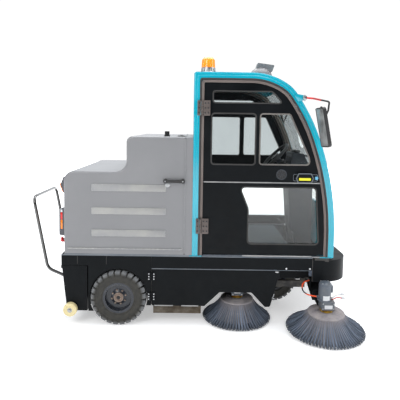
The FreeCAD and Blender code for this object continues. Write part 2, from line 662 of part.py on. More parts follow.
def roof_lamp():
    x, y = ROOF_LAMP
    top = CAB_TOP
    dome = Part.makeSphere(ROOF_DOME_RADIUS, Vector(x, y, LAMP_FACE - 4))
    foot = rod((x, y, LAMP_FACE), (x, y, LAMP_FACE + 6), ROOF_DOME_RADIUS + 4)
    body = side_plate([(x - 44, top + 52), (x - 30, top + 111), (x + 101, top + 95), (x + 82, top + 42)],
                      [10, 8, 8, 8], y - 40, y + 40)
    above = box(x - 120, x + 120, y - 120, y + 120, LAMP_FACE, top + 200)
    return fuse(dome, foot, body).common(above)


# ---------------------------------------------------------------- rear hood
def hood_profile(inset, bottom):
    """Stepped side outline of the hood, drawn in by inset."""
    i = inset
    points = [(HOOD_REAR + i, bottom), (HOOD_FRONT - i, bottom), (HOOD_FRONT - i, HOOD_HIGH_TOP - i),
              (HOOD_STEP_X + i, HOOD_HIGH_TOP - i), (HOOD_STEP_X + i, HOOD_LOW_TOP - i), (HOOD_REAR + i,
                                                                                          HOOD_LOW_TOP - i)]
    return points, [0, 0, 0, 44 - i, 80 + i, 76 - i]


def hood():
    bottom = HOOD_BOTTOM
    outer = side_plate(*hood_profile(0, bottom), -CAB_HALF, CAB_HALF)
    rim = [e for e in outer.Edges
           if all(abs(abs(v.Y) - CAB_HALF) < 0.1 for v in e.Vertexes) and e.BoundBox.YLength < 0.1
           and e.BoundBox.ZMax > bottom + 1 and e.BoundBox.XMax < HOOD_FRONT - 0.1]
    outer = outer.makeFillet(HOOD_EDGE_RADIUS, rim)
    inner = side_plate(*hood_profile(HOOD_WALL, bottom - 1), -CAB_HALF + HOOD_WALL + 4,
                       CAB_HALF - HOOD_WALL - 4)
    leaf = [box(HOOD_REAR - 6, HOOD_REAR + 2, y - 45, y + 45, bottom + 1, bottom + 60) for y in HOOD_HINGE_Y]
    knuckle = [rod((HOOD_AXIS[0], y - 20, HOOD_AXIS[1]), (HOOD_AXIS[0], y + 20, HOOD_AXIS[1]), HOOD_KNUCKLE)
               for y in HOOD_HINGE_Y]
    link = [box(HOOD_AXIS[0], HOOD_REAR, y - 20, y + 20, HOOD_AXIS[1] - 4,
                HOOD_AXIS[1] + 6) for y in HOOD_HINGE_Y]
    bore = [rod((HOOD_AXIS[0], y - 50, HOOD_AXIS[1]), (HOOD_AXIS[0], y + 50, HOOD_AXIS[1]),
                HOOD_PIN + RUNNING_FIT) for y in HOOD_HINGE_Y]
    return cut(fuse(cut(outer, inner), *leaf, *knuckle, *link), *bore)


def hood_frame():
    """Fixed surround ahead of the hood, rim on the deck and the hood's hinge ears."""
    outer = box(HOOD_FRONT + GAP, CAB_REAR - 1, -CAB_HALF, CAB_HALF, DECK_TOP, HOOD_HIGH_TOP)
    outer = outer.makeFillet(HOOD_EDGE_RADIUS, [e for e in outer.Edges if e.BoundBox.XLength > 40
                                                and e.BoundBox.ZMin > DECK_TOP + 10])
    inner = box(HOOD_FRONT, CAB_REAR, -CAB_HALF + 25, CAB_HALF - 25, DECK_TOP + 5, HOOD_HIGH_TOP - 25)
    collar = cut(outer, inner)
    rims = [box(HOOD_REAR, HOOD_FRONT + GAP + 2, *sorted((s * (CAB_HALF - 25), s * CAB_HALF)), DECK_TOP,
                DECK_TOP + 5)
            for s in (-1, 1)]
    rear = box(HOOD_REAR, HOOD_REAR + 25, -CAB_HALF, CAB_HALF, DECK_TOP, DECK_TOP + 5)
    ears = []
    for y in HOOD_HINGE_Y:
        x, z = HOOD_AXIS
        ears.append(rod((x, y - 40, z), (x, y + 40, z), HOOD_PIN))
        for low, high in ((y - 40, y - 22), (y + 22, y + 40)):
            ears.append(rod((x, low, z), (x, high, z), HOOD_KNUCKLE))
            ears.append(box(x - 8, x + 8, low, high, DECK_TOP, z))
        ears.append(box(x - 8, HOOD_REAR + 5, y - 40, y + 40, DECK_TOP, DECK_TOP + 5))
    return fuse(collar, *rims, rear, *ears)


def hood_fittings():
    """Side pull handles and the filler cap."""
    y = -CAB_HALF
    grip = tube([(-194, y - 1, 1077), (-194, y - 28, 1077), (-68, y - 28, 1077), (-68, y - 1, 1077)],
                [0, 12, 12, 0], 7)
    feet = [box(x - 13, x + 13, y - 4, y + 0.5, 1066, 1088) for x in (-194, -68)]
    handle = cut(fuse(grip, *feet), box(-230, -40, y, y + 20, 1040, 1110))
    cap = turned([(0, 0), (0, 20), (12, 20), (12, 15), (38, 15), (38, 0)], [0, 0, 0, 0, 3, 0],
                 (-190, -450, HOOD_HIGH_TOP), (0, 0, 1))
    return Part.makeCompound([handle, mirrored(handle), cap])


def rear_lamps():
    """High marker lamps and tail lamps on the back of the hood."""
    x = HOOD_REAR
    marker = side_plate([(x, 972), (x - 16, 972), (x - 38, 1032), (x - 14, 1092), (x, 1092)], [0, 4, 6, 4, 0],
                        -505, -405)
    tail = side_plate([(x, 656), (x - 44, 662), (x - 44, 846), (x - 20, 864), (x, 864)], [0, 8, 10, 8, 0],
                      -520, -410)
    return Part.makeCompound([marker, mirrored(marker), tail, mirrored(tail)])


def battery_block():
    return box(-830, -120, -400, 400, DECK_TOP, 800)


# ---------------------------------------------------------------- wheels
def tyre(x, y):
    h = TYRE_WIDTH / 2
    r = TYRE_RADIUS
    outline = [(-38, RIM_RADIUS), (-40, 122), (-h, 150), (-h + 3, r - 16), (-h + 15, r), (h - 15, r),
               (h - 3, r - 16), (h, 150), (40, 122), (38, RIM_RADIUS)]
    return turned(outline, [0, 8, 24, 12, 6, 6, 12, 24, 8, 0], (x, y, TYRE_RADIUS), (0, 1, 0))


def rim(x, y, outward, bore, hub_half, blind):
    """Dished disc wheel; a blind hub ends in a closed cap on the outward side."""
    seat = RIM_RADIUS - 0.2
    barrel = turned([(-45, seat - 5), (-45, 120), (-41, 120), (-41, seat), (41, seat), (41, 120), (45, 120),
                     (45, seat - 5)], [0, 1.5, 1.5, 1, 1, 1.5, 1.5, 0], (0, 0, 0), (0, 0, 1))
    disc = turned([(2, 20), (2, seat - 4), (10, seat - 4), (10, 60), (22, 36), (22, 20)], [0, 0, 0, 20, 4, 0],
                  (0, 0, 0), (0, 0, 1))
    hub = Part.makeCylinder(HUB_RADIUS, 2 * hub_half, Vector(0, 0, -hub_half))
    hole = Part.makeCylinder(bore, 4 * hub_half, Vector(0, 0, -2 * hub_half))
    if blind:
        hole = Part.makeCylinder(bore, 2 * hub_half + STUB_TIP + 3 - hub_half, Vector(0, 0, -hub_half - 1))
    wheel = cut(fuse(barrel, disc, hub), hole)
    wheel.Placement = Placement(Vector(x, y, TYRE_RADIUS), Rotation(Vector(0, 0, 1), Vector(0, outward, 0)))
    return wheel


def steering_fork():
    leg_in, leg_out = TYRE_WIDTH / 2 + 9, TYRE_WIDTH / 2 + 19
    x = FRONT_WHEEL_X
    crown_low = CROWN_TOP - 18
    crown = box(x - 45, x + 45, -leg_out, leg_out, crown_low, CROWN_TOP)
    foot = TYRE_RADIUS - 30
    legs = [side_plate([(x - 26, foot), (x + 26, foot), (x + 45, crown_low + 3), (x - 45, crown_low + 3)],
                       [24, 24, 0, 0], *sorted((s * leg_in, s * leg_out))) for s in (-1, 1)]
    stem = rod((x, 0, CROWN_TOP - 2), (x, 0, DECK_UNDER - 4), AXLE_RADIUS)
    axle = rod((x, -leg_in - 2, TYRE_RADIUS), (x, leg_in + 2, TYRE_RADIUS), FRONT_AXLE_RADIUS)
    return fuse(crown, *legs, stem, axle)


# ---------------------------------------------------------------- brushes
def brush_frame(brush):
    """Placement of a side brush: origin at the middle of its bristle tips, leaning outwards."""
    tilt = math.radians(brush["tilt"])
    lift = BRISTLE_CLEARANCE + brush["radius"] * math.sin(tilt)
    return Placement(Vector(brush["x"], -brush["y"], lift), Rotation(Vector(1, 0, 0), brush["tilt"]))


def side_brush(brush):
    height, disc, radius = brush["height"], brush["disc"], brush["radius"]
    cone = turned([(0, 0), (0, radius), (height - DISC_THICK, disc), (height, disc - 5), (height, 0)],
                  [0, 0, 0, 3, 0], (0, 0, 0), (0, 0, 1))
    hub = Part.makeCylinder(BRUSH_HUB_RADIUS, BRUSH_HUB_HEIGHT, Vector(0, 0, height - 1))
    bore = Part.makeCylinder(BRUSH_SHAFT_RADIUS + RUNNING_FIT, BRUSH_HUB_HEIGHT + 16,
                             Vector(0, 0, height - 14))
    solid = cut(fuse(cone, hub), bore)
    solid.Placement = brush_frame(brush)
    return solid


def gear_motor(brush, motor_x):
    """Worm gearbox with its upright motor and output shaft."""
    length, width, high = GEARBOX
    low = brush["height"] + BRUSH_HUB_HEIGHT + 2
    gearbox = Part.makeBox(length, width, high, Vector(-length / 2, -width / 2, low))
    gearbox = gearbox.makeFillet(6, gearbox.Edges)
    motor = Part.makeCylinder(MOTOR_RADIUS, MOTOR_HEIGHT, Vector(motor_x, 0, low + high - 1))
    motor = motor.makeFillet(5, [motor.Edges[0]])
    shaft = Part.makeCylinder(BRUSH_SHAFT_RADIUS, 28, Vector(0, 0, low - 26))
    solid = fuse(gearbox, motor, shaft)
    solid.Placement = brush_frame(brush)
    return solid


def front_motor():
    motor = gear_motor(FRONT_BRUSH, -18.0)
    end = CABLE_ROUTE[-1]
    gland = rod(end, (end[0] + 22, end[1], end[2]), 8)
    return fuse(motor, gland)


def brush_arm():
    """Arm from the pivot under the nose out to the gearbox, with the cable's clip."""
    x0, x1 = LUG_X[0] + LUG_THICK + 3, LUG_X[1] - 3
    y, z = -ARM_PIVOT_Y, ARM_PIVOT_Z
    face = -ARM_FACE_Y
    knuckle = rod((x0, y, z), (x1, y, z), ARM_KNUCKLE)
    bar = cross_plate([(y, z + 6), (face, 240), (face, 226), (y, z - 8)], x0, x1)
    plate = side_plate([(x0 + 40, 186), (1018, 186), (1018, 244), (x1, 300), (x0 + 6, 300), (x0, 262)],
                       [8, 8, 12, 8, 8, 20], face, face + 10)
    clip_x, clip_y, clip_z = CABLE_ROUTE[0]
    clip = box(clip_x, clip_x + 10, clip_y - 10, clip_y + 10, 262, clip_z + 10)
    bore = rod((x0 - 1, y, z), (x1 + 1, y, z), PIVOT_PIN + RUNNING_FIT)
    body = cut(fuse(knuckle, bar, plate, clip), bore)
    return cut(body, gear_motor(FRONT_BRUSH, -18.0))


def brush_cable():
    radii = []
    for i in range(1, len(CABLE_ROUTE) - 1):
        a, b, c = (Vector(*p) for p in CABLE_ROUTE[i - 1:i + 2])
        turn = (b - a).getAngle(c - b)
        shorter = min((b - a).Length, (c - b).Length)
        radii.append(0.45 * shorter / math.tan(turn / 2))
    print("cable bend radii, mm:", [round(r, 1) for r in radii])
    return tube(CABLE_ROUTE, [0] + radii + [0], CABLE_RADIUS)


def mid_motors():
    motor = gear_motor(MID_BRUSH, 0.0)
    post = box(MID_BRUSH["x"] - 30, MID_BRUSH["x"] + 30, -MID_BRUSH["y"] - 40, -MID_BRUSH["y"] + 20, 340,
               DECK_UNDER)
    return pair(fuse(motor, post))


def main_broom():
    bristles = rod((BROOM_X, -BROOM_HALF, BROOM_Z), (BROOM_X, BROOM_HALF, BROOM_Z), BROOM_RADIUS)
    shaft = rod((BROOM_X, -BROOM_HALF - 34, BROOM_Z), (BROOM_X, BROOM_HALF + 34, BROOM_Z), BROOM_SHAFT_RADIUS)
    return fuse(bristles, shaft)


def broom_plates():
    plate = side_plate([(BROOM_X - 60, 110), (BROOM_X + 60, 110), (BROOM_X + 110, DECK_UNDER),
                        (BROOM_X - 110, DECK_UNDER)], [40, 40, 0, 0], -BROOM_HALF - 28, -BROOM_HALF - 20)
    bearing = rod((BROOM_X, -BROOM_HALF - 36, BROOM_Z), (BROOM_X, -BROOM_HALF - 20, BROOM_Z), 32)
    bore = rod((BROOM_X, -BROOM_HALF - 40, BROOM_Z), (BROOM_X, -BROOM_HALF, BROOM_Z),
               BROOM_SHAFT_RADIUS + RUNNING_FIT)
    return pair(cut(fuse(plate, bearing), bore))


def rubber_flaps():
    return pair(box(FLAP_HINGE_X + 10, 78, -508, -502, 72, CROSS_LOW))


# ---------------------------------------------------------------- hopper
def dust_hopper():
    """Wide bin across the tail with a narrower tray reaching forward between the wheels."""
    w = HOPPER_WALL

    def tail(i):
        return side_plate([(HOPPER_REAR_LOW_X + i, HOPPER_BOTTOM + i), (HOPPER_STEP_X - i, HOPPER_BOTTOM + i),
                           (HOPPER_STEP_X - i, HOPPER_TOP - i), (HOPPER_REAR_TOP_X + i,
                                                                 HOPPER_TOP - i)], [0] * 4,
                          -HOPPER_HALF + i, HOPPER_HALF - i)

    low, top = HOPPER_BOTTOM + 19, HOPPER_TOP - 20
    tray = box(HOPPER_STEP_X - 1, HOPPER_FRONT, -HOPPER_NARROW_HALF, HOPPER_NARROW_HALF, low, top)
    tray_inside = box(HOPPER_STEP_X - w - 1, HOPPER_FRONT + 1, -HOPPER_NARROW_HALF + w,
                      HOPPER_NARROW_HALF - w,
                      low + w, top - w)
    ears = []
    for s in (-1, 1):
        y0, y1 = sorted((s * (HOPPER_HALF - 8), s * HOPPER_HALF))
        ears.append(side_plate([(ROLLER_X - 16, ROLLER_Z - 14), (ROLLER_X + 16, ROLLER_Z - 14),
                                (ROLLER_X + 30, 150),
                                (ROLLER_X - 12, 150)], [12, 12, 4, 4], y0, y1))
        ears.append(rod((ROLLER_X, s * (HOPPER_HALF - 4), ROLLER_Z),
                        (ROLLER_X, s * (HOPPER_HALF + 7 + ROLLER_WIDTH), ROLLER_Z), 8))
    return fuse(cut(fuse(tail(0), tray), tail(w), tray_inside), *ears)


def hopper_handle():
    gx, gz = HANDLE_GRIP
    kx, kz = HANDLE_KNEE
    slope = (HOPPER_REAR_TOP_X - HOPPER_REAR_LOW_X) / (HOPPER_TOP - HOPPER_BOTTOM)
    foot_x = HOPPER_REAR_LOW_X + slope * (HANDLE_FOOT_Z - HOPPER_BOTTOM) + 30
    legs = [(foot_x, -1, HANDLE_FOOT_Z), (kx, -1, kz), (gx, -1, gz), (gx, 1, gz), (kx, 1, kz),
            (foot_x, 1, HANDLE_FOOT_Z)]
    points = [(x, side * HANDLE_HALF, z) for x, side, z in legs]
    bar = tube(points, [0, 80, 60, 60, 80, 0], HANDLE_TUBE)
    keep = side_plate([(-1400, 0), (HOPPER_REAR_LOW_X - slope * HOPPER_BOTTOM, 0),
                       (HOPPER_REAR_LOW_X + slope * (1200 - HOPPER_BOTTOM),
                        1200), (-1400, 1200)], [0] * 4, -600, 600)
    return bar.common(keep)


def hopper_rollers():
    y = -HOPPER_HALF - 5 - ROLLER_WIDTH / 2
    h = ROLLER_WIDTH / 2
    roller = turned([(-h, 8 + RUNNING_FIT), (-h, ROLLER_RADIUS), (h, ROLLER_RADIUS), (h, 8 + RUNNING_FIT)],
                    [0, 5, 5, 0], (ROLLER_X, y, ROLLER_Z), (0, 1, 0))
    return pair(roller)


# ---------------------------------------------------------------- all pieces
parts = {
    "frame_rails": frame_rails(),
    "cross_members": cross_members(),
    "steering_head": steering_head(),
    "axle_brackets": axle_brackets(),
    "nose_frame": nose_frame(),
    "deck": deck(),
    "side_skirts": side_skirts(),
    "front_bumper": front_bumper(),
    "cab_hoops": cab_hoops(),
    "roof_panel": roof_panel(),
    "front_panel": front_panel(),
    "cab_rear_wall": cab_rear_wall(),
    "cab_glass": cab_glass(),
    "headlamps": headlamps(),
    "seat_base": seat_base(),
    "seat_cushion": seat_cushion(),
    "seat_back": seat_back(),
    "dash_console": dash_console(),
    "pedals": pedals(),
    "mirrors": mirrors(),
    "beacon_base": beacon_base(),
    "beacon_lens": beacon_lens(),
    "roof_lamp": roof_lamp(),
    "hood_frame": hood_frame(),
    "battery_block": battery_block(),
    "mid_brush_motors": mid_motors(),
    "broom_plates": broom_plates(),
    "rubber_flaps": rubber_flaps(),
    "hood": hood(),
    "hood_fittings": hood_fittings(),
    "rear_lamps": rear_lamps(),
    "steering_wheel": steering_wheel(),
    "steering_fork": steering_fork(),
    "front_rim": rim(FRONT_WHEEL_X, 0, 1, FRONT_AXLE_RADIUS + RUNNING_FIT, TYRE_WIDTH / 2 + 3, False),
    "front_tyre": tyre(FRONT_WHEEL_X, 0),
    "main_broom": main_broom(),
    "dust_hopper": dust_hopper(),
    "hopper_handle": hopper_handle(),
    "hopper_rollers": hopper_rollers(),
}

sided = {
    "door": door(),
    "door_glass": door_glass(),
    "side_flap": flap(),
    "rear_rim": rim(REAR_AXLE_X, -REAR_WHEEL_Y, -1, AXLE_RADIUS + RUNNING_FIT, HUB_LENGTH, True),
    "rear_tyre": tyre(REAR_AXLE_X, -REAR_WHEEL_Y),
    "brush_arm": brush_arm(),
    "brush_motor": front_motor(),
    "brush_cable": brush_cable(),
    "front_brush": side_brush(FRONT_BRUSH),
    "mid_brush": side_brush(MID_BRUSH),
}
for name, shape in sided.items():
    parts[name + "_right"] = shape
    parts[name + "_left"] = mirrored(shape)

front_reach = FRONT_BRUSH["x"] + FRONT_BRUSH["radius"]
rear_reach = HANDLE_GRIP[0] - HANDLE_TUBE
shift = Vector(-(front_reach + rear_reach) / 2, 0, 0)
print("stations are moved along X by", round(shift.x, 3))

os.makedirs("parts", exist_ok=True)
for name, shape in parts.items():
    moved = shape.copy()
    moved.translate(shift)
    if not moved.isValid() or moved.Volume <= 0:
        print("check this piece:", name, moved.isValid(), round(moved.Volume))
    moved.exportStep(os.path.join("parts", name + ".step"))
print(len(parts), "pieces written")
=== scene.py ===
import math
import random

import bmesh
import bpy
from mathutils import Matrix, Vector, noise


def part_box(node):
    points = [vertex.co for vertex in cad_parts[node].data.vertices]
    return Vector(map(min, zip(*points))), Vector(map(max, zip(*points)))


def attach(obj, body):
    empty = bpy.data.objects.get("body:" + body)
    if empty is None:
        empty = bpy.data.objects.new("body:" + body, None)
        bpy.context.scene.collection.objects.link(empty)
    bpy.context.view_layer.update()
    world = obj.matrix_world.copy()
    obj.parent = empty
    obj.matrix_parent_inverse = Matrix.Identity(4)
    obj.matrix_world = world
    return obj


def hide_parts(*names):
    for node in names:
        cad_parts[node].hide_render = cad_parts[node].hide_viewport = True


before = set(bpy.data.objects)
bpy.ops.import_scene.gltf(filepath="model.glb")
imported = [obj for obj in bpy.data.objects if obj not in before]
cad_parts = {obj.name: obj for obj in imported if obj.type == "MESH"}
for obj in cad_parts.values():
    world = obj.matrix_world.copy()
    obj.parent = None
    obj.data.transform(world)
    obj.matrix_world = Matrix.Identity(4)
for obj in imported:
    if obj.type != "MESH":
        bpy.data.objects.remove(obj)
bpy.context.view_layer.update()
scene = bpy.context.scene
sides = {"right": -1, "left": 1}
print("frame loaded:", len(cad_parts), "nodes")

# camera
camera = {"place": (-0.00075, -3.848, 1.471), "pitch": 5.0, "roll": 0.8, "lens": 41.31, "shiftX": 0.0189,
    "shiftY": -0.0834}


def makeCamera():
    pitch, roll = math.radians(camera["pitch"]), math.radians(camera["roll"])
    ahead = Vector((0, math.cos(pitch), -math.sin(pitch)))
    level = Vector((1, 0, 0))
    upward = level.cross(ahead)
    right = level * math.cos(roll) + upward * math.sin(roll)
    up = upward * math.cos(roll) - level * math.sin(roll)
    data = bpy.data.cameras.new("camera")
    data.lens = camera["lens"]
    data.shift_x = camera["shiftX"]
    data.shift_y = camera["shiftY"]
    data.clip_start = 0.05
    data.clip_end = 60
    obj = bpy.data.objects.new("camera", data)
    obj.matrix_world = Matrix.Translation(camera["place"]) @ Matrix((right, up, -ahead)).transposed().to_4x4()
    scene.collection.objects.link(obj)
    scene.camera = obj


makeCamera()


# node groups that several finishes share


def newGroup(name, inputs, outputs):
    tree = bpy.data.node_groups.new(name, "ShaderNodeTree")
    for label, value in inputs.items():
        socket = tree.interface.new_socket(label, in_out="INPUT", socket_type="NodeSocketFloat")
        socket.default_value = value
    for label in outputs:
        tree.interface.new_socket(label, in_out="OUTPUT", socket_type="NodeSocketFloat")
    return tree, tree.nodes.new("NodeGroupInput"), tree.nodes.new("NodeGroupOutput")


def addMath(tree, operation, first, second, clamp=False):
    node = tree.nodes.new("ShaderNodeMath")
    node.operation = operation
    node.use_clamp = clamp
    for socket, value in zip(node.inputs, (first, second)):
        if isinstance(value, (int, float)):
            socket.default_value = value
        else:
            tree.links.new(value, socket)
    return node.outputs[0]


def addNoise(tree, vector, scale, detail=3.0, rough=0.5):
    node = tree.nodes.new("ShaderNodeTexNoise")
    node.inputs["Detail"].default_value = detail
    node.inputs["Roughness"].default_value = rough
    tree.links.new(vector, node.inputs["Vector"])
    if isinstance(scale, (int, float)):
        node.inputs["Scale"].default_value = scale
    else:
        tree.links.new(scale, node.inputs["Scale"])
    return node.outputs["Fac"]


def addRange(tree, value, low, high, start=0.0, end=1.0):
    node = tree.nodes.new("ShaderNodeMapRange")
    tree.links.new(value, node.inputs["Value"])
    for label, number in (("From Min", low), ("From Max", high), ("To Min", start), ("To Max", end)):
        if isinstance(number, (int, float)):
            node.inputs[label].default_value = number
        else:
            tree.links.new(number, node.inputs[label])
    return node.outputs["Result"]


def readPlace(tree):
    return tree.nodes.new("ShaderNodeTexCoord").outputs["Object"]


def splitVector(tree, vector):
    node = tree.nodes.new("ShaderNodeSeparateXYZ")
    tree.links.new(vector, node.inputs[0])
    return node.outputs


def addBump(tree, shader, height, strength, distance):
    bump = tree.nodes.new("ShaderNodeBump")
    bump.inputs["Strength"].default_value = strength
    bump.inputs["Distance"].default_value = distance
    tree.links.new(height, bump.inputs["Height"])
    tree.links.new(bump.outputs["Normal"], shader.inputs["Normal"])


# fine height for the bump and slow mottling for colour and gloss
def makeGrainGroup():
    tree, ins, outs = newGroup("surfaceGrain", {"Scale": 400.0, "Mottle Scale": 5.0}, ("Height", "Mottle"))
    place = readPlace(tree)
    tree.links.new(addNoise(tree, place, ins.outputs["Scale"], 3.0), outs.inputs["Height"])
    slow = addNoise(tree, place, ins.outputs["Mottle Scale"], 5.0, 0.6)
    tree.links.new(addRange(tree, slow, 0.32, 0.68), outs.inputs["Mottle"])
    return tree


# road dust: strongest near the ground and on faces that look up
def makeDustGroup():
    tree, ins, outs = newGroup("roadDust", {"Amount": 0.4, "Clear Height": 0.7, "Scale": 14.0}, ("Mask",))
    place = readPlace(tree)
    low = addRange(tree, splitVector(tree, place)["Z"], 0.0, ins.outputs["Clear Height"], 1.0, 0.12)
    facing = splitVector(tree, tree.nodes.new("ShaderNodeNewGeometry").outputs["Normal"])
    top = addRange(tree, facing["Z"], 0.3, 1.0, 0.0, 0.5)
    patches = addRange(tree, addNoise(tree, place, ins.outputs["Scale"], 6.0, 0.65), 0.38, 0.72)
    mask = addMath(tree, "MULTIPLY", addMath(tree, "ADD", low, top), patches)
    tree.links.new(addMath(tree, "MULTIPLY", mask, ins.outputs["Amount"], True), outs.inputs["Mask"])
    return tree


# rubbed edges, and on some finishes painted highlights: a paler tone where a rounded normal leaves the true
# one, broken up by noise
def makeWearAndHighlightGroup():
    tree, ins, outs = newGroup("edgeWearAndHighlight", {"Radius": 0.002, "Amount": 0.5, "Scale": 60.0}, ("Mask",))
    bevel = tree.nodes.new("ShaderNodeBevel")
    bevel.samples = 4
    tree.links.new(ins.outputs["Radius"], bevel.inputs["Radius"])
    dot = tree.nodes.new("ShaderNodeVectorMath")
    dot.operation = "DOT_PRODUCT"
    tree.links.new(bevel.outputs[0], dot.inputs[0])
    tree.links.new(tree.nodes.new("ShaderNodeNewGeometry").outputs["Normal"], dot.inputs[1])
    edge = addRange(tree, dot.outputs["Value"], 0.998, 0.86)
    place = readPlace(tree)
    broken = addRange(tree, addNoise(tree, place, ins.outputs["Scale"], 4.0, 0.7), 0.42, 0.62)
    mask = addMath(tree, "MULTIPLY", edge, broken)
    tree.links.new(addMath(tree, "MULTIPLY", mask, ins.outputs["Amount"], True), outs.inputs["Mask"])
    return tree


groups = {"grain": makeGrainGroup(), "dust": makeDustGroup(), "wearAndHighlight": makeWearAndHighlightGroup()}


def placeGroup(tree, key, values):
    node = tree.nodes.new("ShaderNodeGroup")
    node.node_tree = groups[key]
    for label, value in values.items():
        node.inputs[label].default_value = value
    return node.outputs


def addMix(tree, factor, first, second):
    node = tree.nodes.new("ShaderNodeMix")
    node.data_type = "RGBA"
    tree.links.new(factor, node.inputs["Factor"])
    for socket, value in ((node.inputs["A"], first), (node.inputs["B"], second)):
        if isinstance(value, tuple):
            socket.default_value = (*value, 1.0)
        else:
            tree.links.new(value, socket)
    return node.outputs["Result"]


def newMaterial(name):
    material = bpy.data.materials.new(name)
    material.use_nodes = True
    return material, material.node_tree, material.node_tree.nodes["Principled BSDF"]


# values of every look that does not name its own
plainLook = {"rough": (0.35, 0.5), "metal": 0.0, "level": 0.5, "coat": 0.0, "coatRough": 0.1,
    "grain": 500.0, "mottle": 5.0, "bump": 0.2, "depth": 0.0003, "dust": 0.05, "clear": 0.7,
    "dustTone": (0.33, 0.3, 0.25), "wearAndHighlight": 0.0, "wearAndHighlightTone": (0.35, 0.35, 0.36), "wearAndHighlightRadius": 0.0015,
    "sheen": 0.0}


# one solid finish: two mottled tones, rubbed edges (painted edge highlights on some finishes), road dust,
# varied gloss and a fine bump
def makeFinish(name, own):
    look = {**plainLook, **own}
    material, tree, shader = newMaterial(name)
    grain = placeGroup(tree, "grain", {"Scale": look["grain"], "Mottle Scale": look["mottle"]})
    dust = placeGroup(tree, "dust", {"Amount": look["dust"], "Clear Height": look["clear"]})["Mask"]
    colour = addMix(tree, grain["Mottle"], *look["tones"])
    # edge tone: real wear on some finishes, and a painted highlight where it is paler than the paint, as on
    # the hood, hoops and hood bars
    if look["wearAndHighlight"] > 0:
        wearAndHighlight = placeGroup(tree, "wearAndHighlight", {"Amount": look["wearAndHighlight"], "Radius": look["wearAndHighlightRadius"]})["Mask"]
        colour = addMix(tree, wearAndHighlight, colour, look["wearAndHighlightTone"])
    colour = addMix(tree, dust, colour, look["dustTone"])
    tree.links.new(colour, shader.inputs["Base Color"])
    gloss = addRange(tree, grain["Mottle"], 0.0, 1.0, *look["rough"])
    gloss = addMath(tree, "ADD", gloss, addMath(tree, "MULTIPLY", dust, 0.4), True)
    tree.links.new(gloss, shader.inputs["Roughness"])
    addBump(tree, shader, grain["Height"], look["bump"], look["depth"])
    for label, key in (("Metallic", "metal"), ("Specular IOR Level", "level"), ("Coat Weight", "coat"),
            ("Coat Roughness", "coatRough"), ("Sheen Weight", "sheen")):
        shader.inputs[label].default_value = look[key]
    return material


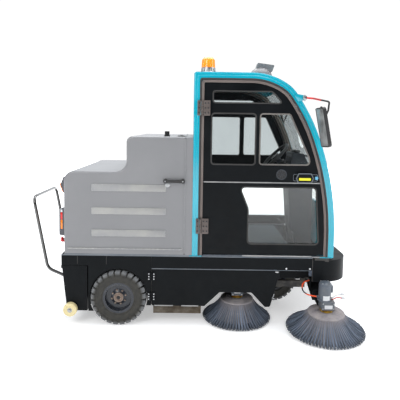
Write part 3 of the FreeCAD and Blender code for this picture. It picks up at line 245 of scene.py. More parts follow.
looks = {
    # the paler teal edge tone is a painted highlight along the hoops' rounded edges
    "tealPaint": {"tones": ((0.0, 0.35, 0.47), (0.0, 0.41, 0.54)), "rough": (0.16, 0.26), "coat": 0.8,
        "grain": 220.0, "mottle": 2.2, "bump": 0.06, "wearAndHighlight": 0.25, "wearAndHighlightTone": (0.25, 0.62, 0.7)},
    "blackPaint": {"tones": ((0.0035, 0.0045, 0.0055), (0.006, 0.0075, 0.009)), "rough": (0.36, 0.5),
        "level": 0.1, "grain": 900.0, "bump": 0.25, "depth": 0.0004, "dust": 0.03, "clear": 0.5,
        "dustTone": (0.16, 0.15, 0.13), "wearAndHighlight": 0.5, "wearAndHighlightTone": (0.16, 0.17, 0.18)},
    "doorBlack": {"tones": ((0.0035, 0.0045, 0.0055), (0.006, 0.0075, 0.009)), "rough": (0.28, 0.4),
        "level": 0.1, "grain": 1500.0, "bump": 0.12, "dust": 0.02, "clear": 1.0, "wearAndHighlight": 0.35,
        "wearAndHighlightTone": (0.12, 0.13, 0.14)},
    # the pale edge tone is a painted highlight along the hood's rounded edges
    "hoodGrey": {"tones": ((0.195, 0.197, 0.206), (0.225, 0.227, 0.236)), "rough": (0.3, 0.42),
        "coat": 0.25, "coatRough": 0.25, "grain": 260.0, "mottle": 1.6, "bump": 0.12, "dust": 0.07,
        "wearAndHighlight": 0.3, "wearAndHighlightTone": (0.62, 0.63, 0.66)},
    # the near-white edge tone is a painted highlight along the bars' rounded edges
    "barGrey": {"tones": ((0.25, 0.255, 0.265), (0.36, 0.355, 0.335)), "rough": (0.28, 0.42), "coat": 0.3,
        "coatRough": 0.2, "grain": 260.0, "mottle": 4.0, "bump": 0.1, "dust": 0.04, "wearAndHighlight": 0.9,
        "wearAndHighlightTone": (0.8, 0.8, 0.82), "wearAndHighlightRadius": 0.0035},
    "liningGrey": {"tones": ((0.15, 0.15, 0.155), (0.19, 0.19, 0.195)), "rough": (0.6, 0.75),
        "grain": 700.0, "bump": 0.4, "depth": 0.0006},
    "framePrimer": {"tones": ((0.018, 0.018, 0.018), (0.032, 0.031, 0.03)), "rough": (0.5, 0.7),
        "bump": 0.35, "depth": 0.0006, "dust": 0.6, "clear": 0.6, "wearAndHighlight": 0.6,
        "wearAndHighlightTone": (0.22, 0.2, 0.18)},
    "rimPaint": {"tones": ((0.01, 0.013, 0.02), (0.022, 0.027, 0.038)), "rough": (0.16, 0.32), "level": 0.4,
        "coat": 0.35, "grain": 300.0, "bump": 0.15, "depth": 0.0004, "clear": 0.45,
        "dustTone": (0.24, 0.22, 0.19), "wearAndHighlight": 0.9, "wearAndHighlightTone": (0.34, 0.33, 0.31), "wearAndHighlightRadius": 0.003},
    "skirtRubber": {"tones": ((0.05, 0.036, 0.022), (0.08, 0.058, 0.036)), "rough": (0.8, 0.9),
        "grain": 240.0, "bump": 0.5, "depth": 0.0012, "dust": 0.6, "clear": 0.4},
    "dashGrey": {"tones": ((0.016, 0.02, 0.028), (0.028, 0.034, 0.044)), "rough": (0.5, 0.65),
        "grain": 900.0, "bump": 0.4, "depth": 0.0005, "dust": 0.12, "clear": 1.4, "wearAndHighlight": 0.4,
        "wearAndHighlightTone": (0.2, 0.21, 0.23)},
    "matBlue": {"tones": ((0.09, 0.12, 0.15), (0.14, 0.17, 0.2)), "rough": (0.7, 0.85), "bump": 0.6,
        "depth": 0.001, "dust": 0.6, "clear": 1.5, "dustTone": (0.3, 0.3, 0.28)},
    "blackPlastic": {"tones": ((0.012, 0.012, 0.013), (0.022, 0.022, 0.024)), "rough": (0.42, 0.6),
        "grain": 1100.0, "bump": 0.35, "depth": 0.0004, "dust": 0.12, "clear": 1.2, "wearAndHighlight": 0.5,
        "wearAndHighlightTone": (0.14, 0.14, 0.15)},
    "stripRubber": {"tones": ((0.155, 0.125, 0.115), (0.21, 0.175, 0.16)), "rough": (0.45, 0.6),
        "grain": 600.0, "depth": 0.0004, "dust": 0.1},
    "sealRubber": {"tones": ((0.02, 0.02, 0.02), (0.032, 0.031, 0.03)), "rough": (0.5, 0.65),
        "grain": 700.0, "bump": 0.25, "depth": 0.0004, "dust": 0.12, "clear": 1.4},
    "windowSeal": {"tones": ((0.075, 0.07, 0.065), (0.19, 0.175, 0.16)), "grain": 600.0, "depth": 0.0004,
        "dust": 0.1},
    "roofGrey": {"tones": ((0.17, 0.17, 0.185), (0.24, 0.235, 0.23)), "depth": 0.0004, "dust": 0.15,
        "clear": 3.0, "wearAndHighlight": 0.5, "wearAndHighlightTone": (0.6, 0.6, 0.62)},
    "motorGrey": {"tones": ((0.055, 0.072, 0.098), (0.085, 0.106, 0.136)), "rough": (0.34, 0.5),
        "coat": 0.2, "grain": 420.0, "bump": 0.3, "depth": 0.0006, "dust": 0.35, "clear": 0.6, "wearAndHighlight": 0.7,
        "wearAndHighlightTone": (0.3, 0.33, 0.37), "wearAndHighlightRadius": 0.003},
    "nylonCream": {"tones": ((0.78, 0.66, 0.34), (0.86, 0.76, 0.46)), "rough": (0.4, 0.55), "grain": 300.0,
        "bump": 0.15, "depth": 0.0005, "dust": 0.35, "clear": 0.3, "dustTone": (0.55, 0.46, 0.3)},
    "discPlastic": {"tones": ((0.2, 0.185, 0.2), (0.3, 0.28, 0.295)), "rough": (0.7, 0.85), "grain": 220.0,
        "mottle": 16.0, "bump": 0.5, "depth": 0.0012, "dust": 0.8, "clear": 0.5,
        "dustTone": (0.42, 0.38, 0.36)},
    "battery": {"tones": ((0.015, 0.015, 0.018), (0.03, 0.03, 0.034)), "rough": (0.5, 0.6), "grain": 400.0,
        "bump": 0.1, "depth": 0.0004, "dust": 0.3, "wearAndHighlight": 0.4},
    "zinc": {"tones": ((0.36, 0.37, 0.38), (0.52, 0.52, 0.53)), "rough": (0.28, 0.42), "metal": 0.85,
        "mottle": 30.0, "dust": 0.2},
    "stripSilver": {"tones": ((0.26, 0.265, 0.27), (0.42, 0.42, 0.42)), "rough": (0.32, 0.48),
        "metal": 0.55, "mottle": 11.0, "dust": 0.3},
    "edgeBlue": {"tones": ((0.1, 0.125, 0.155), (0.17, 0.19, 0.215)), "mottle": 7.0, "dust": 0.2},
    "hingeBronze": {"tones": ((0.085, 0.068, 0.062), (0.135, 0.112, 0.104)), "metal": 0.3, "bump": 0.3,
        "depth": 0.0004, "dust": 0.1, "wearAndHighlight": 0.9, "wearAndHighlightTone": (0.4, 0.36, 0.34), "wearAndHighlightRadius": 0.0025},
    "darkBolt": {"tones": ((0.02, 0.02, 0.022), (0.05, 0.05, 0.052)), "rough": (0.3, 0.45), "metal": 0.5,
        "dust": 0.1},
    "brass": {"tones": ((0.8, 0.4, 0.06), (0.92, 0.66, 0.1)), "rough": (0.25, 0.45), "metal": 0.6,
        "mottle": 30.0, "dust": 0.3},
    "pinkSteel": {"tones": ((0.16, 0.115, 0.09), (0.34, 0.26, 0.215)), "rough": (0.3, 0.5), "metal": 0.5,
        "mottle": 40.0, "bump": 0.3, "depth": 0.0004, "dust": 0.4, "clear": 0.4},
    "glossBlack": {"tones": ((0.012, 0.012, 0.01), (0.03, 0.029, 0.024)), "rough": (0.1, 0.2), "level": 0.9,
        "coat": 1.0, "coatRough": 0.06, "grain": 600.0, "bump": 0.05, "depth": 0.0002, "wearAndHighlight": 0.3,
        "wearAndHighlightTone": (0.3, 0.28, 0.24)},
    "lampBlue": {"tones": ((0.007, 0.009, 0.014), (0.02, 0.025, 0.042)), "rough": (0.12, 0.25), "coat": 0.8,
        "grain": 300.0, "mottle": 30.0, "bump": 0.05, "depth": 0.0002, "wearAndHighlight": 0.4,
        "wearAndHighlightTone": (0.15, 0.17, 0.22)},
    "pillarBrown": {"tones": ((0.125, 0.105, 0.092), (0.165, 0.14, 0.122)), "rough": (0.5, 0.65),
        "depth": 0.0004},
    "redPlastic": {"tones": ((0.6, 0.012, 0.012), (0.72, 0.022, 0.02)), "rough": (0.28, 0.4), "coat": 0.3,
        "bump": 0.1, "dust": 0.1},
    "whitePlastic": {"tones": ((0.62, 0.64, 0.66), (0.74, 0.75, 0.77)), "rough": (0.4, 0.5), "mottle": 30.0,
        "bump": 0.1, "dust": 0.25, "clear": 0.6},
    "yellowStrip": {"tones": ((0.8, 0.72, 0.01), (0.88, 0.82, 0.03)), "rough": (0.4, 0.5), "bump": 0.1,
        "dust": 0.1},
    "keyBlue": {"tones": ((0.1, 0.36, 0.56), (0.2, 0.5, 0.68)), "rough": (0.2, 0.3), "metal": 0.6,
        "bump": 0.1},
    "mirrorGlass": {"tones": ((0.13, 0.135, 0.135), (0.33, 0.34, 0.34)), "rough": (0.12, 0.22),
        "grain": 300.0, "mottle": 9.0, "bump": 0.02, "depth": 0.0002, "dust": 0.1, "clear": 3.0},
    "vinyl": {"tones": ((0.014, 0.014, 0.016), (0.026, 0.026, 0.029)), "rough": (0.42, 0.58),
        "grain": 620.0, "bump": 0.5, "depth": 0.0008, "dust": 0.15, "clear": 2.0, "sheen": 0.2},
}
finishes = {name: makeFinish(name, look) for name, look in looks.items()}


# clear pane that lets the light of the studio through to the seat
def makeGlass(name, tint, rough):
    material, tree, shader = newMaterial(name)
    grain = placeGroup(tree, "grain", {"Scale": 90.0, "Mottle Scale": 3.0})
    tree.links.new(addMix(tree, grain["Mottle"], tint, tuple(c * 0.94 for c in tint)),
        shader.inputs["Base Color"])
    tree.links.new(addRange(tree, grain["Mottle"], 0.0, 1.0, rough, rough + 0.04),
        shader.inputs["Roughness"])
    shader.inputs["Transmission Weight"].default_value = 1.0
    shader.inputs["IOR"].default_value = 1.45
    clear = tree.nodes.new("ShaderNodeBsdfTransparent")
    clear.inputs["Color"].default_value = (*(c ** 0.5 for c in tint), 1.0)
    mix = tree.nodes.new("ShaderNodeMixShader")
    tree.links.new(tree.nodes.new("ShaderNodeLightPath").outputs["Is Shadow Ray"], mix.inputs["Fac"])
    tree.links.new(shader.outputs["BSDF"], mix.inputs[1])
    tree.links.new(clear.outputs["BSDF"], mix.inputs[2])
    tree.links.new(mix.outputs["Shader"], tree.nodes["Material Output"].inputs["Surface"])
    return material


# coloured lamp lens: a little light of its own, with mould ribs in the gloss
def makeLens(name, tones, glow, rough=0.12):
    material, tree, shader = newMaterial(name)
    grain = placeGroup(tree, "grain", {"Scale": 260.0, "Mottle Scale": 22.0})
    colour = addMix(tree, grain["Mottle"], *tones)
    tree.links.new(colour, shader.inputs["Base Color"])
    tree.links.new(colour, shader.inputs["Emission Color"])
    shader.inputs["Emission Strength"].default_value = glow
    tree.links.new(addRange(tree, grain["Height"], 0.3, 0.7, rough, rough + 0.15),
        shader.inputs["Roughness"])
    shader.inputs["Coat Weight"].default_value = 0.5
    return material


finishes["clearGlass"] = makeGlass("clearGlass", (0.80, 0.83, 0.82), 0.0)
finishes["lampClear"] = makeLens("lampClear", ((0.62, 0.65, 0.68), (0.80, 0.82, 0.84)), 0.05)
finishes["amberLens"] = makeLens("amberLens", ((0.95, 0.20, 0.002), (1.0, 0.38, 0.01)), 0.22)
finishes["redLens"] = makeLens("redLens", ((0.55, 0.005, 0.005), (0.75, 0.02, 0.01)), 0.15)
finishes["orangeLens"] = makeLens("orangeLens", ((0.85, 0.16, 0.005), (0.95, 0.26, 0.01)), 0.2)


def readAttribute(tree, name):
    node = tree.nodes.new("ShaderNodeAttribute")
    node.attribute_name = name
    return node.outputs["Fac"]


# each strand has its own shade: random, with painted shade on the lower inner rows and at the tufts' sides;
# dust lies on the strands near the disc and their tips are darker
def makeBristleFinish():
    material, tree, shader = newMaterial("bristle")
    shade = readAttribute(tree, "shade")
    along = readAttribute(tree, "along")
    colour = addMix(tree, shade, (0.003, 0.004, 0.006), (0.25, 0.30, 0.39))
    colour = addMix(tree, addRange(tree, along, 0.30, 0.0, 0.0, 0.75), colour, (0.36, 0.33, 0.34))
    colour = addMix(tree, addRange(tree, along, 0.80, 1.0, 0.0, 0.6), colour, (0.035, 0.035, 0.038))
    tree.links.new(colour, shader.inputs["Base Color"])
    tree.links.new(addRange(tree, shade, 0.0, 1.0, 0.7, 0.5), shader.inputs["Roughness"])
    shader.inputs["Specular IOR Level"].default_value = 0.3
    return material


# dusty block tread: pale bluish crowns, partly scuffing and partly painted highlight, darker grooves, brown
# film on the side walls
def makeTyreFinish():
    material, tree, shader = newMaterial("tyreRubber")
    grain = placeGroup(tree, "grain", {"Scale": 520.0, "Mottle Scale": 26.0})
    crown = readAttribute(tree, "crown")
    colour = addMix(tree, grain["Mottle"], (0.028, 0.028, 0.026), (0.048, 0.047, 0.043))
    top = addMix(tree, grain["Mottle"], (0.13, 0.138, 0.15), (0.20, 0.205, 0.21))
    colour = addMix(tree, crown, colour, top)
    dust = placeGroup(tree, "dust", {"Amount": 0.22, "Clear Height": 0.8, "Scale": 30.0})["Mask"]
    colour = addMix(tree, dust, colour, (0.135, 0.118, 0.088))
    tree.links.new(colour, shader.inputs["Base Color"])
    tree.links.new(addRange(tree, grain["Mottle"], 0.0, 1.0, 0.62, 0.8), shader.inputs["Roughness"])
    shader.inputs["Specular IOR Level"].default_value = 0.3
    addBump(tree, shader, grain["Height"], 0.5, 0.0012)
    return material


# orange-red sleeve with a black stretch where tape is wound round it
def makeCableFinish():
    material, tree, shader = newMaterial("cableOrange")
    place = readPlace(tree)
    grain = placeGroup(tree, "grain", {"Scale": 700.0, "Mottle Scale": 60.0})
    colour = addMix(tree, grain["Mottle"], (0.78, 0.060, 0.012), (0.92, 0.105, 0.02))
    height = splitVector(tree, place)["Z"]
    below = addRange(tree, height, 0.322, 0.314)
    above = addRange(tree, height, 0.288, 0.294)
    colour = addMix(tree, addMath(tree, "MULTIPLY", below, above), colour, (0.016, 0.015, 0.015))
    tree.links.new(colour, shader.inputs["Base Color"])
    tree.links.new(addRange(tree, grain["Mottle"], 0.0, 1.0, 0.3, 0.45), shader.inputs["Roughness"])
    return material


finishes["bristle"] = makeBristleFinish()
finishes["tyreRubber"] = makeTyreFinish()
finishes["cableOrange"] = makeCableFinish()
print("finishes made:", len(finishes))


# shape helpers


def newVerts(made):
    return [item for item in made if isinstance(item, bmesh.types.BMVert)]


def bevelEdges(bm, edges, offset, segments=2):
    bmesh.ops.bevel(bm, geom=edges, offset=offset, segments=segments, profile=0.5, affect="EDGES",
        material=-1, clamp_overlap=True)


# cosine and sine of equal steps round a circle
def circleSteps(count, shift=0.0):
    angles = [math.tau * (i + shift) / count for i in range(count)]
    return [(math.cos(a), math.sin(a)) for a in angles]


# a bevelled block between two corners
def addBlock(bm, low, high, bevel=0.0, segments=2):
    low, high = Vector(low), Vector(high)
    size = high - low
    place = Matrix.Translation((low + high) / 2) @ Matrix.Diagonal((*size, 1))
    verts = newVerts(bmesh.ops.create_cube(bm, size=1, matrix=place)["verts"])
    if bevel > 0:
        bevelEdges(bm, list({e for v in verts for e in v.link_edges}), bevel, segments)


# a round bar, pin or bolt head between two points
def addRod(bm, start, end, radius, sides=16, bevel=0.0):
    start, end = Vector(start), Vector(end)
    axis = end - start
    place = Matrix.Translation((start + end) / 2) @ axis.to_track_quat("Z", "Y").to_matrix().to_4x4()
    verts = newVerts(bmesh.ops.create_cone(bm, cap_ends=True, segments=sides, radius1=radius,
        radius2=radius, depth=axis.length, matrix=place)["verts"])
    if bevel > 0:
        edges = {e for v in verts for e in v.link_edges if any(len(f.verts) > 4 for f in e.link_faces)}
        bevelEdges(bm, list(edges), bevel)


# a turned solid from (radius, along) points; a first or last radius of 0 closes it at a pole
def addTurned(bm, profile, centre, axis, steps=64):
    place = Matrix.Translation(centre) @ Vector(axis).to_track_quat("Z", "Y").to_matrix().to_4x4()
    verts = [bm.verts.new((radius, 0, along)) for radius, along in profile]
    edges = [bm.edges.new(pair) for pair in zip(verts, verts[1:])]
    bmesh.ops.spin(bm, geom=verts + edges, cent=(0, 0, 0), axis=(0, 0, 1), dvec=(0, 0, 0), angle=math.tau,
        steps=steps, use_merge=True)
    around = {v for v in verts if v.is_valid}
    reach = list(around)
    while reach:
        vert = reach.pop()
        for edge in vert.link_edges:
            other = edge.other_vert(vert)
            if other not in around:
                around.add(other)
                reach.append(other)
    around = list(around)
    bmesh.ops.remove_doubles(bm, verts=around, dist=1e-6)
    around = [v for v in around if v.is_valid]
    bmesh.ops.transform(bm, matrix=place, verts=around)


# a flat face in the side plane, from (x, z) corners with their own roundings
def addOutline(bm, points, radii, y):
    verts = [bm.verts.new((x, y, z)) for x, z in points]
    face = bm.faces.new(verts)
    for i, vert in enumerate(verts):
        if radii[i] <= 0:
            continue
        before = (Vector((*points[i - 1], 0)) - Vector((*points[i], 0))).normalized()
        after = (Vector((*points[(i + 1) % len(points)], 0)) - Vector((*points[i], 0))).normalized()
        reach = radii[i] / math.tan(before.angle(after) / 2)
        made = bmesh.ops.bevel(bm, geom=[vert], offset=reach, segments=7, profile=0.5, affect="VERTICES",
            material=-1)
        kept = [f for f in made["faces"] if f.is_valid]
        if kept:
            face = kept[0]
    return max(bm.faces, key=lambda f: f.calc_area()) if not face.is_valid else face


def extrudeFaces(bm, faces, move):
    made = bmesh.ops.extrude_face_region(bm, geom=faces)
    bmesh.ops.translate(bm, vec=move, verts=newVerts(made["geom"]))
    bmesh.ops.recalc_face_normals(bm, faces=bm.faces)


# thickens the faces towards the outside, rounds their outer edges and joins them to bm
def thickenFaces(bm, own, faces, y, thick, bevel):
    extrudeFaces(own, faces, (0, -thick, 0))
    if bevel > 0:
        edges = [e for e in own.edges if all(abs(v.co.y - (y - thick)) < 1e-6 for v in e.verts)
            and e.calc_face_angle(0) > 0.6]
        bevelEdges(own, edges, bevel)
    joinMesh(bm, own)


# a plate with rounded corners in side view, standing out from y towards the outside
def addPlate(bm, points, radii, y, thick, bevel=0.0):
    own = bmesh.new()
    face = addOutline(own, points, radii, y)
    thickenFaces(bm, own, [face], y, thick, bevel)


# the same corners moved outwards, for a frame round an opening
def growOutline(points, amount):
    grown = []
    count = len(points)
    centre = sum((Vector(p) for p in points), Vector((0, 0))) / count
    for i in range(count):
        here = Vector(points[i])
        before = (here - Vector(points[i - 1])).normalized()
        after = (Vector(points[(i + 1) % count]) - here).normalized()
        normals = [Vector((d.y, -d.x)) for d in (before, after)]
        normals = [n if n.dot(here - centre) > 0 else -n for n in normals]
        mean = (normals[0] + normals[1]).normalized()
        grown.append(tuple(here + mean * amount / max(mean.dot(normals[0]), 0.5)))
    return grown


# a flat frame that follows an outline, its outer edge on the outline
def addRing(bm, points, radii, y, width, thick, bevel=0.0):
    own = bmesh.new()
    face = addOutline(own, points, radii, y)
    bmesh.ops.inset_individual(own, faces=[face], thickness=width, use_even_offset=True)
    bmesh.ops.delete(own, geom=[face], context="FACES")
    thickenFaces(bm, own, own.faces[:], y, thick, bevel)


def joinMesh(bm, own):
    mesh = bpy.data.meshes.new("scratch")
    own.to_mesh(mesh)
    own.free()
    bm.from_mesh(mesh)
    bpy.data.meshes.remove(mesh)


# a round line through points: straight runs, or a smooth NURBS line with the points as its controls
def makeCurve(name, points, radius, sections, smooth):
    curve = bpy.data.curves.new(name, "CURVE")
    curve.dimensions = "3D"
    curve.bevel_depth = radius
    curve.bevel_resolution = sections
    curve.use_fill_caps = True
    spline = curve.splines.new("NURBS" if smooth else "POLY")
    spline.points.add(len(points) - 1)
    for point, co in zip(spline.points, points):
        point.co = (*co, 1)
    if smooth:
        spline.order_u = 3
        spline.use_endpoint_u = True
        spline.resolution_u = 12
    obj = bpy.data.objects.new(name, curve)
    scene.collection.objects.link(obj)
    return obj


# the same round line, as mesh in bm
def addTube(bm, points, radius, sections=3, smooth=False):
    obj = makeCurve("scratch", points, radius, sections, smooth)
    bpy.context.view_layer.update()
    mesh = bpy.data.meshes.new_from_object(obj.evaluated_get(bpy.context.evaluated_depsgraph_get()))
    bm.from_mesh(mesh)
    bpy.data.meshes.remove(mesh)
    curve = obj.data
    bpy.data.objects.remove(obj)
    bpy.data.curves.remove(curve)


# turns the right-hand shape into the left-hand one, or adds it where keep is set
def mirrorMesh(bm, keep):
    geom = bm.verts[:] + bm.edges[:] + bm.faces[:]
    if keep:
        made = bmesh.ops.duplicate(bm, geom=geom)["geom"]
        verts = newVerts(made)
        faces = [f for f in made if isinstance(f, bmesh.types.BMFace)]
    else:
        verts, faces = bm.verts[:], bm.faces[:]
    bmesh.ops.scale(bm, vec=(1, -1, 1), verts=verts)
    bmesh.ops.reverse_faces(bm, faces=faces)


# makes the mesh a piece of the machine that rides on a body
def finishPiece(bm, name, finish, body, both=False, mirror=False, sharp=32):
    bmesh.ops.recalc_face_normals(bm, faces=bm.faces)
    if both or mirror:
        mirrorMesh(bm, keep=both)
    mesh = bpy.data.meshes.new(name)
    bm.to_mesh(mesh)
    bm.free()
    mesh.shade_smooth()
    mesh.set_sharp_from_angle(angle=math.radians(sharp))
    mesh.materials.append(finishes[finish])
    obj = bpy.data.objects.new(name, mesh)
    scene.collection.objects.link(obj)
    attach(obj, body)
    return obj


# one piece for each row of name, build function, finish, slot and whether it is on both sides
def makePieces(body, rows):
    for name, build, finish, slotName, both in rows:
        bm = bmesh.new()
        build(bm)
        finishPiece(bm, name, finish, body, both=both)


# a right-hand piece and its left-hand twin for each row, each on its own side's body
def makeSided(body, rows):
    for name, build, finish, slotName in rows:
        for side, sign in sides.items():
            bm = bmesh.new()
            build(bm)
            finishPiece(bm, f"{name}_{side}", finish, f"{body}_{side}", mirror=sign > 0)


# cables on the front brush arms
cable = {"radius": 0.005, "length": 0.263, "route": [
    (0.88325, -0.508, 0.340), (0.84325, -0.538, 0.343), (0.81125, -0.580, 0.328),
    (0.80425, -0.630, 0.302), (0.83725, -0.666, 0.283), (0.89525, -0.668, 0.277)]}


def makeCables():
    for side, sign in sides.items():
        points = [(x, -sign * y, z) for x, y, z in cable["route"]]
        flex = makeCurve(f"brush_lead_{side}", points, cable["radius"], 6, True)
        flex.data.materials.append(finishes["cableOrange"])
        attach(flex, f"brush_arm_{side}")
        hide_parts(f"brush_cable_{side}")


makeCables()
print("cables laid")

# finishes of the frame's own pieces
finishNodes = {
    "framePrimer": ("frame_rails", "cross_members", "steering_head", "axle_brackets", "nose_frame",
        "broom_plates", "steering_fork"),
    "blackPaint": ("deck", "side_skirts", "front_bumper", "dust_hopper", "side_flap", "brush_arm"),
    "tealPaint": ("cab_hoops", "roof_panel", "front_panel"),
    "liningGrey": ("cab_rear_wall",),
    "clearGlass": ("cab_glass", "door_glass"),
    "lampClear": ("headlamps",),
    "blackPlastic": ("seat_base", "pedals", "mirrors", "hood_fittings", "steering_wheel"),
    "vinyl": ("seat_cushion", "seat_back"),
    "dashGrey": ("dash_console",),
    "zinc": ("beacon_base",),
    "amberLens": ("beacon_lens",),
    "roofGrey": ("roof_lamp",),
    "hoodGrey": ("hood_frame", "hood"),
    "battery": ("battery_block",),
    "motorGrey": ("mid_brush_motors", "brush_motor"),
    "skirtRubber": ("rubber_flaps",),
    "lampBlue": ("rear_lamps",),
    "rimPaint": ("front_rim", "rear_rim"),
    "tyreRubber": ("front_tyre", "rear_tyre"),
    "bristle": ("main_broom", "front_brush", "mid_brush"),
    "glossBlack": ("hopper_handle",),
    "nylonCream": ("hopper_rollers",),
    "doorBlack": ("door",),
    "cableOrange": ("brush_cable",),
}
nodeFinish = {node: finish for finish, group in finishNodes.items() for node in group}
for nodeName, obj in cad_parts.items():
    plainName = nodeName.removesuffix("_right").removesuffix("_left")
    obj.data.materials.clear()
    obj.data.materials.append(finishes[nodeFinish[plainName]])
print("frame dressed")

# rear hood
hoodTrim = {"face": 0.560, "barX": (-0.7288, -0.1888),
    "barZ": ((0.665, 0.716), (0.828, 0.878), (0.997, 1.049)), "barOut": 0.007, "top": 1.396,
    "beadX": (-0.902, -0.066), "beadZ": 0.575,
    "lock": (-0.178, 1.049), "cap": (-0.19075, -0.450), "disc": (-0.085, -0.430),
    "handleX": (-0.194, -0.068), "handleZ": 1.077}


def buildHoodBars(bm):
    x0, x1 = hoodTrim["barX"]
    for z0, z1 in hoodTrim["barZ"]:
        corners = [(x0, z0), (x1, z0), (x1, z1), (x0, z1)]
        addPlate(bm, corners, [0.006] * 4, -hoodTrim["face"] + 0.001, hoodTrim["barOut"] + 0.001, 0.0055)


def buildHoodBead(bm):
    x0, x1 = hoodTrim["beadX"]
    z, y = hoodTrim["beadZ"], -hoodTrim["face"]
    addTube(bm, [(x0, y - 0.001, z), (x0 + 0.01, y - 0.003, z), (x1 - 0.02, y - 0.003, z),
        (x1 - 0.006, y - 0.003, z + 0.004), (x1, y - 0.001, z + 0.010)], 0.0055, 3)


def buildHoodLock(bm):
    x, z = hoodTrim["lock"]
    y = -hoodTrim["face"]
    addTurned(bm, [(0, 0.012), (0.009, 0.012), (0.010, 0.010), (0.016, 0.009), (0.0185, 0.006),
        (0.0185, 0)], (x, y, z), (0, -1, 0), 32)
    addBlock(bm, (x - 0.0015, y - 0.0135, z - 0.006), (x + 0.0015, y - 0.011, z + 0.006))
    for x in hoodTrim["handleX"]:
        addTurned(bm, [(0, 0.036), (0.004, 0.036), (0.0052, 0.0345), (0.0052, 0.030)],
            (x, y, hoodTrim["handleZ"]), (0, -1, 0), 12)


def buildHandleEnds(bm):
    y = -hoodTrim["face"]
    for x in hoodTrim["handleX"]:
        addTurned(bm, [(0, 0.034), (0.010, 0.034), (0.0145, 0.030), (0.016, 0.022), (0.016, 0)],
            (x, y, hoodTrim["handleZ"]), (0, -1, 0), 24)
    addPlate(bm, [(-0.194, 1.066), (-0.068, 1.066), (-0.068, 1.088), (-0.194, 1.088)], [0.004] * 4,
        y - 0.024, 0.009, 0.003)


# ribbed filler cap and the low fixing disc beside it
def buildHoodTop(bm):
    top = hoodTrim["top"]
    for cosine, sine in circleSteps(20):
        x, y = hoodTrim["cap"][0] + 0.0155 * cosine, hoodTrim["cap"][1] + 0.0155 * sine
        addRod(bm, (x, y, top + 0.013), (x, y, top + 0.037), 0.0022, 6)
    addTurned(bm, [(0.024, 0.0), (0.024, 0.004), (0.019, 0.006), (0.018, 0.011)], (*hoodTrim["cap"], top),
        (0, 0, 1), 32)
    addTurned(bm, [(0, 0.012), (0.007, 0.012), (0.009, 0.009), (0.026, 0.006), (0.030, 0.003), (0.030, 0)],
        (*hoodTrim["disc"], top), (0, 0, 1), 32)


# cover strip on the hood's front edge, which overlaps the fixed surround
def buildHoodSeam(bm):
    y, top = -hoodTrim["face"], hoodTrim["top"]
    addTube(bm, [(-0.0520, y - 0.0005, 0.560), (-0.0520, y - 0.0005, top - 0.016)], 0.0032, 2)
    addBlock(bm, (-0.0590, y - 0.0030, 0.545), (-0.0450, y - 0.0004, top - 0.014), 0.0012)
    addBlock(bm, (-0.0590, y + 0.016, top + 0.0004), (-0.0450, 0.0, top + 0.0030), 0.0012)
    addRod(bm, (-0.0520, y + 0.005, top - 0.009), (-0.0520, y + 0.018, top + 0.001), 0.0055, 8)


# raised field and vent slots on the back of the hood
def buildHoodRear(bm):
    x = -0.93075
    for i in range(7):
        z = 0.70 + 0.035 * i
        addBlock(bm, (x - 0.006, -0.26, z), (x + 0.001, 0.26, z + 0.014), 0.003)
    addBlock(bm, (x - 0.003, -0.30, 0.66), (x + 0.001, 0.30, 0.672), 0.0012)
    addBlock(bm, (x - 0.003, -0.30, 0.95), (x + 0.001, 0.30, 0.962), 0.0012)


def makeHood():
    makePieces("hood", (
        ("hood_bars", buildHoodBars, "barGrey", "hood_grey", True),
        ("hood_bead", buildHoodBead, "barGrey", "hood_grey", True),
        ("hood_locks", buildHoodLock, "zinc", "lamp_silver", True),
        ("hood_handle_ends", buildHandleEnds, "blackPlastic", "black_plastic", True),
        ("hood_seam", buildHoodSeam, "hoodGrey", "hood_grey", True),
        ("hood_caps", buildHoodTop, "blackPlastic", "black_plastic", False),
        ("hood_rear_vents", buildHoodRear, "barGrey", "hood_grey", False)))


makeHood()
print("hood done")

# tail lamps, pull knob and latch
tailTrim = {"x": (-0.9645, -0.9505), "y": 0.5175}


# one colour of the lamp's glass, which wraps from its back round to its side
def buildTailGlass(bm, z0, z1):
    (x0, x1), y = tailTrim["x"], tailTrim["y"]
    addBlock(bm, (x0, -y - 0.0045, z0), (x1, -y + 0.010, z1), 0.002, 2)
    addBlock(bm, (-0.9775, -y + 0.020, z0), (-0.9700, -0.425, z1), 0.002, 2)


def buildMarkerGlass(bm):
    addTube(bm, [(-0.9480, -0.5060, 0.976), (-0.9695, -0.5060, 1.033), (-0.9650, -0.5060, 1.046)], 0.0028,
        2)
    addBlock(bm, (-0.9715, -0.500, 1.012), (-0.9625, -0.410, 1.030), 0.003)


# battery cut-off knob on the right of the back face
def buildCutOff(bm):
    addRod(bm, (-0.926, -0.470, 0.590), (-0.966, -0.470, 0.612), 0.007, 16)
    addRod(bm, (-0.960, -0.470, 0.598), (-0.972, -0.470, 0.632), 0.009, 16, 0.002)
    addRod(bm, (-0.966, -0.494, 0.614), (-0.966, -0.446, 0.614), 0.009, 16, 0.002)


def buildLatches(bm):
    for y in (-0.36, 0.36):
        addBlock(bm, (-1.004, y - 0.030, 0.376), (-0.940, y + 0.030, 0.388), 0.003)
        addBlock(bm, (-1.006, y - 0.026, 0.366), (-0.994, y + 0.026, 0.390), 0.003)


def makeTail():
    makePieces("hood", (
        ("tail_glass_clear", lambda bm: buildTailGlass(bm, 0.832, 0.850), "lampClear", "lamp_clear", True),
        ("tail_glass_red", lambda bm: buildTailGlass(bm, 0.776, 0.830), "redLens", "tail_black", True),
        ("tail_glass_amber", lambda bm: buildTailGlass(bm, 0.706, 0.774), "orangeLens", "tail_black", True),
        ("marker_glass", buildMarkerGlass, "orangeLens", "tail_black", True),
        ("cut_off_knob", buildCutOff, "redPlastic", "tail_black", False)))
    makePieces("hopper", (("hopper_latches", buildLatches, "blackPlastic", "black_plastic", False),))


makeTail()
print("tail done")

